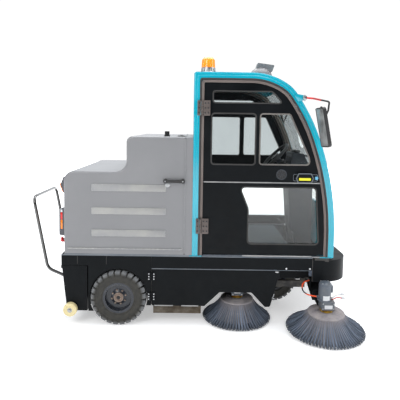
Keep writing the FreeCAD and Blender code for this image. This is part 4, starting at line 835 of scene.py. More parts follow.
# cab outline, for the weatherstrips
cabShape = {"rear": 0.00325, "front": 1.03875, "top": 1.858, "foot": 0.531,
    "arcs": ((0.466, 0, 32), (0.275, 32, 54), (1.350, 54, 70), (2.090, 70, 90))}


# points up the rear post, along the roof and down the front, drawn in by inset
def cabLine(inset, y, step=3):
    reach = sum(r * (math.sin(math.radians(b)) - math.sin(math.radians(a))) for r, a, b in cabShape["arcs"])
    x, z = cabShape["front"] - reach, cabShape["top"]
    rear, top = cabShape["rear"] + inset, cabShape["top"] - inset
    points = [(rear, y, cabShape["foot"]), (rear, y, 1.2), (rear, y, top - 0.014)]
    points += [(rear + 0.014 - 0.014 * math.cos(math.radians(a)), y,
        top - 0.014 + 0.014 * math.sin(math.radians(a))) for a in (30, 60, 90)]
    for radius, start, end in cabShape["arcs"]:
        for slope in range(start, end, step):
            turn, first = math.radians(slope), math.radians(start)
            px = x + radius * (math.sin(turn) - math.sin(first))
            pz = z - radius * (math.cos(first) - math.cos(turn))
            points.append((px - inset * math.sin(turn), y, pz - inset * math.cos(turn)))
        x += radius * (math.sin(math.radians(end)) - math.sin(math.radians(start)))
        z -= radius * (math.cos(math.radians(start)) - math.cos(math.radians(end)))
    points.append((x - inset, y, z))
    points.append((x - inset, y, cabShape["foot"]))
    return points


# hollow rubber lip round the door's edge, in two rolls with a step between them
def buildWeatherstrip(bm):
    for inset, radius in ((0.0605, 0.0050), (0.0690, 0.0042)):
        addTube(bm, cabLine(inset, doorTrim["face"] - 0.0015), radius, 2)


# black line along the inner edge of each hoop: painted shade for the dark gap between the hoop and the
# weatherstrip
def buildHoopGapShade(bm):
    for inset, radius in ((0.0465, 0.0052), (0.0510, 0.0045)):
        addTube(bm, cabLine(inset, -0.5590), radius, 2)


# rolled outer corner and raised swage of each hoop, which catch the light
def buildHoopBeads(bm):
    for inset, y, radius in ((0.0050, -0.5570, 0.0050), (0.0240, -0.5580, 0.0040)):
        addTube(bm, cabLine(inset, y), radius, 3)


# trim panel on the cab's side of each hoop
def buildHoopLining(bm):
    for inset, y, radius in ((0.0120, -0.5160, 0.009), (0.0280, -0.5150, 0.012), (0.0440, -0.5160, 0.009)):
        addTube(bm, cabLine(inset, y), radius, 2)


def buildLiningPiping(bm):
    for inset in (0.0200, 0.0362):
        addTube(bm, cabLine(inset, -0.5075), 0.0032, 2)


def buildFootPlates(bm):
    for x in (0.030, 0.984):
        addBlock(bm, (x - 0.045, -0.5655, 0.5255), (x + 0.045, -0.500, 0.5315), 0.002)


def makeCabTrim():
    makePieces("chassis", (
        ("hoop_gap_shade", buildHoopGapShade, "sealRubber", "black_plastic", True),
        ("hoop_linings", buildHoopLining, "pillarBrown", "cab_lining", True),
        ("lining_piping", buildLiningPiping, "sealRubber", "black_plastic", True),
        ("hoop_edges", buildHoopBeads, "tealPaint", "teal_paint", True),
        ("hoop_feet", buildFootPlates, "tealPaint", "teal_paint", True)))


makeCabTrim()
print("cab trim done")

# doors
doorTrim = {"face": -0.553, "vent": (0.642, 1.134), "windows": {
    "top": ([(0.141, 1.642), (0.640, 1.642), (0.590, 1.698), (0.560, 1.726), (0.141, 1.726)],
        [0.018, 0.014, 0.040, 0.030, 0.018]),
    "rear": ([(0.134, 1.202), (0.450, 1.202), (0.450, 1.568), (0.134, 1.568)], [0.022] * 4),
    "front": ([(0.482, 1.205), (0.846, 1.205), (0.838, 1.260), (0.694, 1.568), (0.482, 1.568)],
        [0.020, 0.024, 0.060, 0.020, 0.020]),
    "low": ([(0.409, 0.622), (0.927, 0.622), (0.898, 1.040), (0.345, 1.040), (0.409, 0.880)],
        [0.028, 0.028, 0.028, 0.028, 0.090])}}


def buildGaskets(bm, keys):
    for key in keys:
        points, radii = doorTrim["windows"][key]
        grown = growOutline(points, 0.005)
        grown = [(x - 0.00075, z) for x, z in grown]
        addRing(bm, grown, [r + 0.005 for r in radii], doorTrim["face"] + 0.006, 0.010, 0.009, 0.002)


# pale line across the door, where its two sheets meet
def buildDoorRail(bm):
    addBlock(bm, (0.082, -0.5565, 1.070), (0.932, -0.5520, 1.078), 0.0015)


# round shutter vent with a rim, hub and turning slots
def buildVent(bm):
    (x, z), y = doorTrim["vent"], doorTrim["face"]
    addTurned(bm, [(0.0385, 0), (0.0385, 0.004), (0.036, 0.006), (0.0325, 0.006), (0.031, 0.003),
        (0.0305, 0)], (x, y, z), (0, -1, 0), 40)
    addTurned(bm, [(0, 0.008), (0.005, 0.008), (0.007, 0.006), (0.007, 0)], (x, y, z), (0, -1, 0), 20)
    for cosine, sine in circleSteps(8, 0.5):
        addRod(bm, (x + 0.012 * cosine, y - 0.002, z + 0.012 * sine),
            (x + 0.029 * cosine, y - 0.002, z + 0.029 * sine), 0.0022, 8)


def buildVentDisc(bm):
    x, z = doorTrim["vent"]
    addTurned(bm, [(0, 0.0015), (0.031, 0.0015), (0.032, 0)], (x, doorTrim["face"], z), (0, -1, 0), 32)


# grey surround and bright edge of the door's pull handle
def buildHandleRim(bm):
    addRing(bm, [(0.726, 1.089), (0.905, 1.089), (0.905, 1.139), (0.726, 1.139)], [0.012] * 4, -0.5580,
        0.0035, 0.003, 0.001)
    addRing(bm, [(0.756, 1.078), (0.853, 1.078), (0.869, 1.112), (0.851, 1.148), (0.758, 1.148),
        (0.741, 1.112)], [0.008] * 6, -0.5850, 0.006, 0.0035, 0.001)


def buildHandleStrip(bm):
    addPlate(bm, [(0.763, 1.0965), (0.846, 1.0965), (0.846, 1.1145), (0.763, 1.1145)], [0.002] * 4, -0.5865,
        0.0018)


def buildKey(bm):
    addTurned(bm, [(0, 0.010), (0.010, 0.010), (0.0125, 0.008), (0.0135, 0.004), (0.0135, 0)],
        (0.893, -0.5585, 1.112), (0, -1, 0), 24)


hingeTrim = {"axis": (0.06225, -0.569), "spans": ((0.700, 0.804), (1.553, 1.653))}


# cover plates and knuckles of the door hinges, on the post or on the door
def buildHingePlates(bm, moving):
    x, y = hingeTrim["axis"]
    reach = (0.010, 0.058) if moving else (-0.033, -0.010)
    for low, high in hingeTrim["spans"]:
        addBlock(bm, (x + reach[0], y - 0.0055, low - 0.004), (x + reach[1], y - 0.0010, high + 0.004),
            0.0018)
        third = (high - low) / 3
        ends = [(low, low + third - 0.001), (high - third + 0.001, high)]
        spans = [(low + third, high - third)] if moving else ends
        for z0, z1 in spans:
            addRod(bm, (x, y, z0), (x, y, z1), 0.0085, 20, 0.0012)


def buildHingeBolts(bm, moving):
    x, y = hingeTrim["axis"]
    columns = (0.022, 0.045) if moving else (-0.022,)
    for low, high in hingeTrim["spans"]:
        for z in (low + 0.016, (low + high) / 2, high - 0.016):
            for dx in columns:
                addRod(bm, (x + dx, y - 0.005, z), (x + dx, y - 0.0095, z), 0.0062, 6, 0.001)


def makeDoors():
    makeSided("door", (
        ("door_seals", lambda bm: buildGaskets(bm, ("top", "rear", "low")), "sealRubber", "black_plastic"),
        ("door_front_seal", lambda bm: buildGaskets(bm, ("front",)), "windowSeal", "flap_rubber"),
        ("weatherstrip", buildWeatherstrip, "stripRubber", "flap_rubber"),
        ("door_rail", buildDoorRail, "stripSilver", "lamp_silver"),
        ("door_vent", buildVent, "dashGrey", "grey_plastic"),
        ("door_vent_disc", buildVentDisc, "blackPlastic", "black_plastic"),
        ("door_handle_rim", buildHandleRim, "edgeBlue", "grey_plastic"),
        ("door_handle_strip", buildHandleStrip, "yellowStrip", "amber_lens"),
        ("door_key", buildKey, "keyBlue", "lamp_silver"),
        ("door_hinge_plates", lambda bm: buildHingePlates(bm, True), "hingeBronze", "black_paint"),
        ("door_hinge_bolts", lambda bm: buildHingeBolts(bm, True), "darkBolt", "black_paint")))
    makePieces("chassis", (
        ("post_hinge_plates", lambda bm: buildHingePlates(bm, False), "hingeBronze", "black_paint", True),
        ("post_hinge_bolts", lambda bm: buildHingeBolts(bm, False), "darkBolt", "black_paint", True)))


makeDoors()
print("doors done")

# deck edges, skirts and side flaps
sideTrim = {"face": -0.556, "deckTop": 0.525, "deckRear": -0.95275, "flapHinge": -0.29075, "rivet": 0.0185,
    "hinges": ((0.190, 0.249), (0.341, 0.400))}


# silver tread strip below the door and the plate in front of it
def buildSill(bm):
    addBlock(bm, (0.372, -0.5600, 0.529), (0.880, -0.5550, 0.539), 0.0015)
    addBlock(bm, (0.884, -0.5600, 0.5255), (0.965, -0.5200, 0.5335), 0.0025)


def buildSillBase(bm):
    addBlock(bm, (0.078, -0.5545, 0.5252), (0.960, -0.5250, 0.5345), 0.002)
    for i in range(5):
        y = -0.5500 + 0.005 * i
        addRod(bm, (0.090, y, 0.5345), (0.950, y, 0.5345), 0.0012, 6)


# dark strip behind the flap's hinge slit, painted shade filling the slit, closing plate at the bumper and
# gland of the brush cable
def buildFlapBacking(bm):
    addBlock(bm, (-0.3060, -0.5480, 0.155), (-0.2760, -0.5440, 0.425), 0.001)
    addBlock(bm, (0.9050, -0.5555, 0.496), (1.0100, -0.5480, 0.5245), 0.001)
    addRod(bm, (0.858, -0.470, 0.352), (0.884, -0.500, 0.342), 0.008, 12, 0.001)


# blue-grey rolled edge along the deck's side and a line at the band's foot, painted highlight on these edges
def buildDeckLine(bm):
    y, z = sideTrim["face"], sideTrim["deckTop"]
    addTube(bm, [(sideTrim["deckRear"], y + 0.0005, z - 0.003), (0.888, y + 0.0005, z - 0.003)], 0.0035, 3)
    addTube(bm, [(-0.2900, y + 0.0005, 0.4272), (0.632, y + 0.0005, 0.4272)], 0.0030, 3)
    addBlock(bm, (0.632, y - 0.0015, 0.4255), (0.884, y + 0.0010, 0.4285), 0.0006)


# thin blue-grey strip between the hood and the deck
def buildBlueRim(bm):
    addBlock(bm, (-0.920, -0.5605, 0.5262), (-0.001, -0.5560, 0.5340), 0.001)


def buildSkirtSeams(bm):
    y = sideTrim["face"]
    for x in (-0.8360, -0.6240):
        addBlock(bm, (x, y - 0.0012, 0.455), (x + 0.003, y + 0.001, 0.518))
    addBlock(bm, (0.8885, y - 0.002, 0.347), (0.8925, y + 0.001, 0.522), 0.0008)


def addHingeRivets(bm, dx):
    x, y = sideTrim["flapHinge"] + dx, sideTrim["face"] - 0.0105
    for low, high in sideTrim["hinges"]:
        for z in (low + 0.010, (low + high) / 2, high - 0.010):
            addTurned(bm, [(0, 0.0035), (0.0032, 0.003), (0.0046, 0.001), (0.0046, 0)], (x, y, z),
                (0, -1, 0), 12)


def buildSkirtBolts(bm):
    y = sideTrim["face"]
    for x, z in ((0.699, 0.440), (0.872, 0.441)):
        addTurned(bm, [(0, 0.004), (0.004, 0.0035), (0.0065, 0.001), (0.0065, 0)], (x, y, z), (0, -1, 0),
            16)
    addHingeRivets(bm, -sideTrim["rivet"])


def buildFlapBolts(bm):
    addHingeRivets(bm, sideTrim["rivet"])


# pale strips along the bottom of the flap, painted highlight on its lower edge
def buildFlapEdgeHighlight(bm):
    y = sideTrim["face"]
    for x0, x1 in ((-0.270, -0.130), (-0.070, 0.056)):
        addBlock(bm, (x0, y - 0.003, 0.146), (x1, y + 0.001, 0.154), 0.0012)


def buildFlapCatch(bm):
    y = sideTrim["face"]
    addRod(bm, (0.604, y - 0.001, 0.214), (0.613, y - 0.009, 0.252), 0.0032, 12, 0.001)
    addRod(bm, (0.598, y - 0.007, 0.222), (0.618, y - 0.007, 0.212), 0.0036, 12, 0.001)
    addPlate(bm, [(0.616, 0.412), (0.640, 0.408), (0.645, 0.418), (0.622, 0.420)], [0.002] * 4, y, 0.004,
        0.001)


def buildRubberClamps(bm):
    addBlock(bm, (-0.283, -0.5130, 0.400), (0.080, -0.5075, 0.430), 0.0015)
    for i in range(7):
        addRod(bm, (-0.262 + 0.053 * i, -0.513, 0.415), (-0.262 + 0.053 * i, -0.518, 0.415), 0.006, 6)


def makeSkirts():
    makePieces("chassis", (
        ("sill_strips", buildSill, "stripSilver", "lamp_silver", True),
        ("flap_backings", buildFlapBacking, "framePrimer", "black_plastic", True),
        ("sill_bases", buildSillBase, "motorGrey", "grey_plastic", True),
        ("deck_lines", buildDeckLine, "edgeBlue", "black_paint", True),
        ("deck_blue_rims", buildBlueRim, "edgeBlue", "black_paint", True),
        ("skirt_seams", buildSkirtSeams, "sealRubber", "black_paint", True),
        ("skirt_bolts", buildSkirtBolts, "whitePlastic", "lamp_silver", True),
        ("rubber_clamps", buildRubberClamps, "zinc", "lamp_silver", True)))
    makeSided("side_flap", (
        ("flap_bolts", buildFlapBolts, "whitePlastic", "lamp_silver"),
        ("flap_edge_highlight", buildFlapEdgeHighlight, "stripSilver", "lamp_silver"),
        ("flap_catch", buildFlapCatch, "zinc", "lamp_silver")))


makeSkirts()
print("skirts done")

# wheels
tyreShape = {"radius": 0.205, "half": 0.053, "blocks": 25, "groove": 0.012}


# carcass turned from its section, with two staggered rows of tread blocks
def buildTyre(bm, centre):
    radius, half = tyreShape["radius"], tyreShape["half"]
    floor = radius - tyreShape["groove"]
    section = [(0.1045, -0.038), (0.1045, -0.0415), (0.112, -0.0445), (0.124, -0.0490), (0.1245, -0.0505),
        (0.128, -0.0510), (0.130, -0.0500), (0.150, -0.0525), (0.165, -0.0520), (0.1655, -0.0535),
        (0.170, -0.0530), (0.1705, -0.0500), (0.180, -0.0470), (0.188, -0.0420), (floor, -0.036),
        (floor, 0.0)]
    whole = section + [(r, -a) for r, a in section[-2::-1]]
    addTurned(bm, whole, centre, (0, 1, 0), 96)
    count = tyreShape["blocks"]
    for row, sign in enumerate((-1, 1)):
        for i in range(count):
            own = bmesh.new()
            outline = [(0.002, floor - 0.004), (0.002, radius - 0.001), (0.018, radius),
                (0.041, radius - 0.001), (half, radius - 0.009), (half + 0.0022, radius - 0.034),
                (half - 0.006, radius - 0.040)]
            verts = [own.verts.new((-0.0175 + (0.004 if a < 0.010 else 0.0), sign * a, r))
                for a, r in outline]
            extrudeFaces(own, [own.faces.new(verts)], (0.035, 0, 0))
            bevelEdges(own, own.edges[:], 0.0022, 1)
            turn = Matrix.Rotation(math.tau * (i + 0.5 * row) / count, 4, "Y")
            skew = Matrix.Rotation(math.radians(6.0) * sign, 4, "Z")
            bmesh.ops.transform(own, matrix=Matrix.Translation(centre) @ turn @ skew, verts=own.verts)
            joinMesh(bm, own)


# marks the tread's outer faces, which are painted paler than the grooves, partly as scuffing and partly as
# painted highlight
def paintCrown(obj, centre):
    values = []
    for vert in obj.data.vertices:
        reach = math.hypot(vert.co.x - centre[0], vert.co.z - centre[2])
        side = abs(vert.co.y - centre[1])
        values.append(min(max((reach - 0.176) / 0.012, 0.0), 1.0) * (reach > 0.195 or side > 0.0505))
    layer = obj.data.attributes.new("crown", "FLOAT", "POINT")
    layer.data.foreach_set("value", values)


def makeTyre(name, node, body):
    low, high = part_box(node)
    centre = (low + high) / 2
    bm = bmesh.new()
    buildTyre(bm, centre)
    obj = finishPiece(bm, name, "tyreRubber", body, sharp=40)
    paintCrown(obj, centre)
    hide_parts(node)
    return centre


wheelTrim = {"disc": 0.010, "hub": 0.0295}


# ring of studs and nuts on the wheel's disc
def buildWheelBolts(bm, centre, outward):
    axis = Vector((0, outward, 0))
    face = Vector(centre) + axis * wheelTrim["disc"]
    for cosine, sine in circleSteps(8, 0.35):
        spot = face + Vector((0.052 * cosine, 0, 0.052 * sine))
        addRod(bm, spot, spot + axis * 0.009, 0.0075, 6, 0.001)
        addRod(bm, spot + axis * 0.009, spot + axis * 0.014, 0.0038, 10, 0.001)


def buildHubNut(bm, centre, outward):
    axis = Vector((0, outward, 0))
    face = Vector(centre) + axis * wheelTrim["hub"]
    addTurned(bm, [(0.036, -0.004), (0.0365, 0.002), (0.034, 0.005), (0.028, 0.005), (0.026, 0.002),
        (0.0245, 0.001), (0.0240, 0.006), (0.020, 0.008), (0.015, 0.008), (0.014, 0.003)], face, axis, 40)


def buildHubCore(bm, centre, outward):
    axis = Vector((0, outward, 0))
    face = Vector(centre) + axis * wheelTrim["hub"]
    addTurned(bm, [(0, 0.004), (0.013, 0.004), (0.0145, 0.002), (0.0145, -0.004)], face, axis, 24)
    addRod(bm, face + axis * 0.003, face + axis * 0.009, 0.007, 6, 0.001)


# rolled lip and the dust ring inside it
def buildRimLip(bm, centre, outward):
    axis = Vector((0, outward, 0))
    addTurned(bm, [(0.1035, 0.036), (0.106, 0.0425), (0.113, 0.0455), (0.120, 0.0455), (0.1225, 0.0425),
        (0.1215, 0.039)], centre, axis, 80)
    addTurned(bm, [(0.098, 0.011), (0.0985, 0.020), (0.1005, 0.028), (0.1005, 0.032), (0.096, 0.026),
        (0.0945, 0.012)], centre, axis, 80)


def makeWheels():
    for side, sign in sides.items():
        body = f"rear_wheel_{side}"
        centre = makeTyre(f"tread_rear_{side}", f"rear_tyre_{side}", body)
        for name, build, finish, slotName in (
                ("wheel_bolts", buildWheelBolts, "pinkSteel", "steel_bright"),
                ("hub_ring", buildHubNut, "pinkSteel", "steel_bright"),
                ("hub_core", buildHubCore, "darkBolt", "frame_primer"),
                ("rim_lip", buildRimLip, "rimPaint", "rim_paint")):
            bm = bmesh.new()
            build(bm, centre, sign)
            finishPiece(bm, f"{name}_rear_{side}", finish, body)
    centre = makeTyre("tread_front", "front_tyre", "front_wheel")
    for name, build, finish, slotName in (
            ("wheel_bolts_front", buildWheelBolts, "pinkSteel", "steel_bright"),
            ("rim_lip_front", buildRimLip, "rimPaint", "rim_paint")):
        bm = bmesh.new()
        for outward in (-1, 1):
            build(bm, centre, outward)
        finishPiece(bm, name, finish, "front_wheel")


makeWheels()
print("wheels done")

# side brushes
brushKinds = {
    "front": {"x": 0.97225, "y": 0.6425, "radius": 0.280, "disc": 0.129, "height": 0.143, "tilt": 5.2,
              "clear": 0.004, "tufts": 74},
    "mid": {"x": 0.35425, "y": 0.400, "radius": 0.262, "disc": 0.124, "height": 0.160, "tilt": 3.0,
            "clear": 0.004, "tufts": 68},
}
strandShape = {"perTuft": 11, "half": 0.0013, "joints": 4, "spread": 0.62}


def brushPlace(kind):
    tilt = math.radians(kind["tilt"])
    lift = kind["clear"] + kind["radius"] * math.sin(tilt)
    return Matrix.Translation((kind["x"], -kind["y"], lift)) @ Matrix.Rotation(tilt, 4, "X")


def bridgeRings(bm, first, second):
    count = len(first)
    for k in range(count):
        bm.faces.new((first[k], first[(k + 1) % count], second[(k + 1) % count], second[k]))


# one bristle: a square section carried from root to tip along a shallow bow
def addStrand(bm, layers, root, tip, sag, half, shade):
    side = (tip - root).cross(Vector((0, 0, 1))).normalized()
    if side.length < 0.5:
        side = Vector((1, 0, 0))
    across = (tip - root).normalized().cross(side)
    count = strandShape["joints"]
    rings = []
    for j in range(count):
        t = j / (count - 1)
        middle = root.lerp(tip, t) + across * sag * 4 * t * (1 - t)
        width = half * (1.0 - 0.25 * t)
        ring = [bm.verts.new(middle + side * a * width + across * b * width)
            for a, b in ((-1, -1), (1, -1), (1, 1), (-1, 1))]
        for vert in ring:
            vert[layers["shade"]] = shade
            vert[layers["along"]] = t
        rings.append(ring)
    for first, second in zip(rings, rings[1:]):
        bridgeRings(bm, first, second)
    bm.faces.new(rings[-1])


def strandLayers(bm):
    return {key: bm.verts.layers.float.new(key) for key in ("shade", "along")}


# tufts that fan out from the disc's edge, each a bundle of bowed strands
def buildSideBristles(bm, kind, seed):
    rand = random.Random(seed)
    layers = strandLayers(bm)
    height, disc, radius = kind["height"], kind["disc"], kind["radius"]
    # the last number of each row scales its strands' shade: the lower inner rows are darkened as painted
    # shade under the outer row
    rows = ((1.00, 0.016, 1.00, 0.000, 1.0), (0.86, 0.022, 0.95, 0.010, 0.30),
        (0.70, 0.026, 0.88, 0.016, 0.15))
    for share, drop, reach, lift, bright in rows:
        count = int(kind["tufts"] * (0.6 + 0.4 * share))
        for i in range(count):
            angle = math.tau * (i + 0.5 * (lift > 0)) / count
            tuftShade = rand.uniform(0.60, 0.90) * bright
            for k in range(strandShape["perTuft"]):
                spread = (k / (strandShape["perTuft"] - 1) - 0.5) * strandShape["spread"] * math.tau / count
                a0 = angle + spread * 0.35
                a1 = angle + spread + rand.gauss(0, 0.006)
                inner = disc * share - 0.006
                outer = radius * reach * rand.uniform(0.975, 1.0)
                root = Vector((inner * math.cos(a0), inner * math.sin(a0), height - drop))
                tip = Vector((outer * math.cos(a1), outer * math.sin(a1), rand.uniform(0.0, 0.006)))
                # strands at the sides of a tuft are painted darker, as shade in the gaps between tufts
                shade = min(max(tuftShade + rand.gauss(0, 0.10) - 0.45 * (abs(k - 5) / 5) ** 2, 0.0), 1.0)
                addStrand(bm, layers, root, tip, rand.uniform(0.010, 0.016), strandShape["half"], shade)
    # dark sheet under the strands, painted shade so that no light shows through
    shadeSheet = ((disc * 0.9, height - 0.020), (radius * 0.88, 0.004))
    rings = [[bm.verts.new((r * c, r * s, z)) for c, s in circleSteps(48)] for r, z in shadeSheet]
    bridgeRings(bm, *rings)


def buildBrushDisc(bm, kind):
    height, disc = kind["height"], kind["disc"]
    addTurned(bm, [(0, height - 0.004), (0.046, height - 0.003), (0.050, height + 0.001),
        (disc * 0.62, height), (disc * 0.66, height - 0.004), (disc * 0.90, height - 0.008),
        (disc, height - 0.014), (disc + 0.001, height - 0.022), (disc - 0.006, height - 0.026),
        (0.02, height - 0.026), (0, height - 0.026)], (0, 0, 0), (0, 0, 1), 72)
    for cosine, sine in circleSteps(6):
        spot = Vector((0.064 * cosine, 0.064 * sine, height - 0.001))
        addRod(bm, spot, spot + Vector((0, 0, 0.005)), 0.006, 6, 0.001)


def buildBrushHub(bm, kind):
    height = kind["height"]
    addTurned(bm, [(0.044, -0.002), (0.044, 0.003), (0.040, 0.005), (0.0305, 0.006), (0.0300, 0.012),
        (0.028, 0.014), (0.0105, 0.014)], (0, 0, height), (0, 0, 1), 36)
    for cosine, sine in circleSteps(6, 0.5):
        spot = Vector((0.037 * cosine, 0.037 * sine, height + 0.004))
        addRod(bm, spot, spot + Vector((0, 0, 0.005)), 0.0042, 6)


def makeSideBrushes():
    for key, kind in brushKinds.items():
        place = brushPlace(kind)
        for side, sign in sides.items():
            body = f"{key}_brush_{side}"
            for name, build, finish, slotName in (
                    ("bristles", lambda bm: buildSideBristles(bm, kind, 11 + len(key)), "bristle", "bristle"),
                    ("disc", lambda bm: buildBrushDisc(bm, kind), "discPlastic", "bristle"),
                    ("hub", lambda bm: buildBrushHub(bm, kind), "brass", "steel_bright")):
                bm = bmesh.new()
                build(bm)
                bmesh.ops.transform(bm, matrix=place, verts=bm.verts)
                finishPiece(bm, f"{key}_{name}_{side}", finish, body,
                    mirror=sign > 0)
            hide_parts(body)


makeSideBrushes()
print("side brushes done")

# main broom
broomShape = {"x": -0.12075, "z": 0.174, "radius": 0.168, "core": 0.075, "half": 0.340, "rows": 14,
    "along": 46}


# rows of tufts that wind round the core in a chevron
def buildBroom(bm):
    rand = random.Random(5)
    layers = strandLayers(bm)
    for row in range(broomShape["rows"]):
        for i in range(broomShape["along"]):
            share = i / (broomShape["along"] - 1)
            y = (share - 0.5) * 2 * broomShape["half"]
            angle = math.tau * row / broomShape["rows"] + 1.1 * abs(share - 0.5)
            shade = rand.uniform(0.15, 0.6)
            for _ in range(5):
                a1 = angle + rand.gauss(0, 0.05)
                outward0 = Vector((math.cos(angle), 0, math.sin(angle)))
                outward1 = Vector((math.cos(a1), 0, math.sin(a1)))
                root = outward0 * broomShape["core"] + Vector((0, y, 0))
                reach = broomShape["radius"] * rand.uniform(0.96, 1.0)
                tip = outward1 * reach + Vector((0, y + rand.gauss(0, 0.004), 0))
                addStrand(bm, layers, root, tip, rand.uniform(0.0, 0.004), 0.0016, min(max(shade, 0), 1))
    middle = Vector((broomShape["x"], 0, broomShape["z"]))
    bmesh.ops.translate(bm, vec=middle, verts=bm.verts)


def buildBroomCore(bm):
    x, z = broomShape["x"], broomShape["z"]
    addTurned(bm, [(0, -0.379), (0.015, -0.379), (0.015, -0.346), (0.060, -0.344), (0.078, -0.341),
        (0.078, 0.341), (0.060, 0.344), (0.015, 0.346), (0.015, 0.379), (0, 0.379)], (x, 0, z), (0, 1, 0),
        40)


def makeBroom():
    bm = bmesh.new()
    buildBroom(bm)
    bristles = finishPiece(bm, "broom_bristles", "bristle", "main_broom")
    bm = bmesh.new()
    buildBroomCore(bm)
    finishPiece(bm, "broom_core", "blackPlastic", "main_broom")
    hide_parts("main_broom")


makeBroom()
print("broom done")

# brush motors, wires and arms
motorTrim = {"radius": 0.0435, "x": -0.018, "foot": 0.016, "gearbox": 0.066}


def inBrushFrame(bm, kind):
    bmesh.ops.transform(bm, matrix=brushPlace(kind), verts=bm.verts)


# two blank rating plates, on the motor and on the gearbox
def buildMotorLabels(bm):
    kind = brushKinds["front"]
    low = kind["height"] + motorTrim["foot"]
    own = bmesh.new()
    r = motorTrim["radius"] + 0.0008
    verts = [own.verts.new((motorTrim["x"] + r * math.sin(math.radians(a)), -r * math.cos(math.radians(a)),
        low + 0.076)) for a in range(-28, 37, 4)]
    edges = [own.edges.new(p) for p in zip(verts, verts[1:])]
    made = bmesh.ops.extrude_edge_only(own, edges=edges)
    bmesh.ops.translate(own, vec=(0, 0, 0.034), verts=newVerts(made["geom"]))
    bmesh.ops.solidify(own, geom=own.faces[:], thickness=0.0008)
    joinMesh(bm, own)
    addBlock(bm, (-0.026, -0.0472, low + 0.014), (0.030, -0.0455, low + 0.042), 0.0005)
    inBrushFrame(bm, kind)


# end cap, ribs and terminal box of the motor
def buildMotorFittings(bm):
    kind = brushKinds["front"]
    low = kind["height"] + motorTrim["foot"] + motorTrim["gearbox"]
    x = motorTrim["x"]
    addTurned(bm, [(0, 0.134), (0.018, 0.134), (0.034, 0.130), (0.0425, 0.123), (0.0455, 0.114),
        (0.0455, 0.106), (0.0440, 0.105)], (x, 0, low), (0, 0, 1), 48)
    addTurned(bm, [(0.0440, -0.002), (0.0500, -0.001), (0.0500, 0.008), (0.0440, 0.010)], (x, 0, low),
        (0, 0, 1), 48)
    addBlock(bm, (x + 0.036, -0.020, low + 0.060), (x + 0.052, 0.020, low + 0.110), 0.003)
    for zz in (-0.058, -0.006):
        addBlock(bm, (-0.047, -0.0480, low + zz), (0.047, 0.0480, low + zz + 0.005), 0.002)
    inBrushFrame(bm, kind)


def buildMotorBolts(bm):
    kind = brushKinds["front"]
    low = kind["height"] + motorTrim["foot"] + motorTrim["gearbox"]
    x = motorTrim["x"]
    for angle in (45, 135, 225, 315):
        spot = Vector((x + 0.036 * math.cos(math.radians(angle)), 0.036 * math.sin(math.radians(angle)),
            low + 0.127))
        addRod(bm, spot, spot + Vector((0, 0, 0.005)), 0.0045, 6, 0.001)
    for dx in (-0.038, 0.038):
        for dz in (-0.050, -0.012):
            spot = Vector((dx, -0.0465, low + dz))
            addRod(bm, spot, spot + Vector((0, -0.004, 0)), 0.0052, 6, 0.001)
    inBrushFrame(bm, kind)


wireTrim = {
    "white": [(0.990, -0.668, 0.262), (1.016, -0.668, 0.270), (1.040, -0.668, 0.292), (1.072, -0.668, 0.294)],
    "red": [(0.990, -0.668, 0.252), (1.018, -0.668, 0.258), (1.046, -0.668, 0.274), (1.078, -0.668, 0.266)]}


def buildWire(bm, key):
    addTube(bm, wireTrim[key], 0.0036, 3, smooth=True)


def buildPlugs(bm):
    for key in ("white", "red"):
        end = Vector(wireTrim[key][-1])
        addBlock(bm, end - Vector((0.003, 0.007, 0.007)), end + Vector((0.018, 0.007, 0.007)), 0.0015)
        addRod(bm, end + Vector((0.016, 0, 0)), end + Vector((0.026, 0, 0)), 0.0035, 8)


def buildArmBolts(bm):
    for x, z in ((0.945, 0.205), (1.003, 0.215)):
        addRod(bm, (x, -0.597, z), (x, -0.589, z), 0.0075, 6, 0.001)
    addRod(bm, (0.874, -0.400, 0.318), (0.864, -0.400, 0.318), 0.012, 6, 0.0015)


def buildMidBolts(bm):
    kind = brushKinds["mid"]
    low = kind["height"] + motorTrim["foot"]
    for dx in (-0.034, 0.034):
        for dz in (0.012, 0.050):
            spot = Vector((dx, -0.0465, low + dz))
            addRod(bm, spot, spot + Vector((0, -0.004, 0)), 0.0055, 6, 0.001)
    addBlock(bm, (-0.024, -0.0475, low + 0.018), (0.022, -0.0455, low + 0.044), 0.0005)
    inBrushFrame(bm, kind)


def makeMotors():
    makeSided("brush_arm", (
        ("motor_labels", buildMotorLabels, "whitePlastic", "lamp_silver"),
        ("motor_caps", buildMotorFittings, "motorGrey", "motor_grey"),
        ("motor_bolts", buildMotorBolts, "zinc", "steel_bright"),
        ("wire_white", lambda bm: buildWire(bm, "white"), "whitePlastic", "lamp_silver"),
        ("wire_red", lambda bm: buildWire(bm, "red"), "redPlastic", "cable_orange"),
        ("wire_plugs", buildPlugs, "whitePlastic", "lamp_silver"),
        ("arm_bolts", buildArmBolts, "zinc", "steel_bright")))
    makePieces("chassis", (("mid_motor_bolts", buildMidBolts, "zinc", "steel_bright", True),))


makeMotors()
print("motors done")

# rollers of the hopper
rollerTrim = {"x": -0.88475, "z": 0.119, "outer": -0.594}


def buildRollerBolt(bm):
    x, y, z = rollerTrim["x"], rollerTrim["outer"], rollerTrim["z"]
    addTurned(bm, [(0.0175, 0.0), (0.0175, 0.003), (0.011, 0.003), (0.010, 0.002)], (x, y, z), (0, -1, 0),
        32)
    addRod(bm, (x, y - 0.002, z), (x, y - 0.010, z), 0.0095, 6, 0.001)


def buildRollerRim(bm):
    x, z = rollerTrim["x"], rollerTrim["z"]
    addTurned(bm, [(0.0470, 0.001), (0.0470, -0.0015), (0.044, -0.0030), (0.040, -0.0015), (0.028, -0.0015),
        (0.026, -0.003), (0.0176, -0.003), (0.0176, 0.002)], (x, -0.5930, z), (0, 1, 0), 56)


def makeRollers():
    makePieces("hopper", (("roller_bolts", buildRollerBolt, "zinc", "steel_bright", True),))
    makePieces("hopper_rollers", (("roller_faces", buildRollerRim, "nylonCream", "nylon_cream", True),))


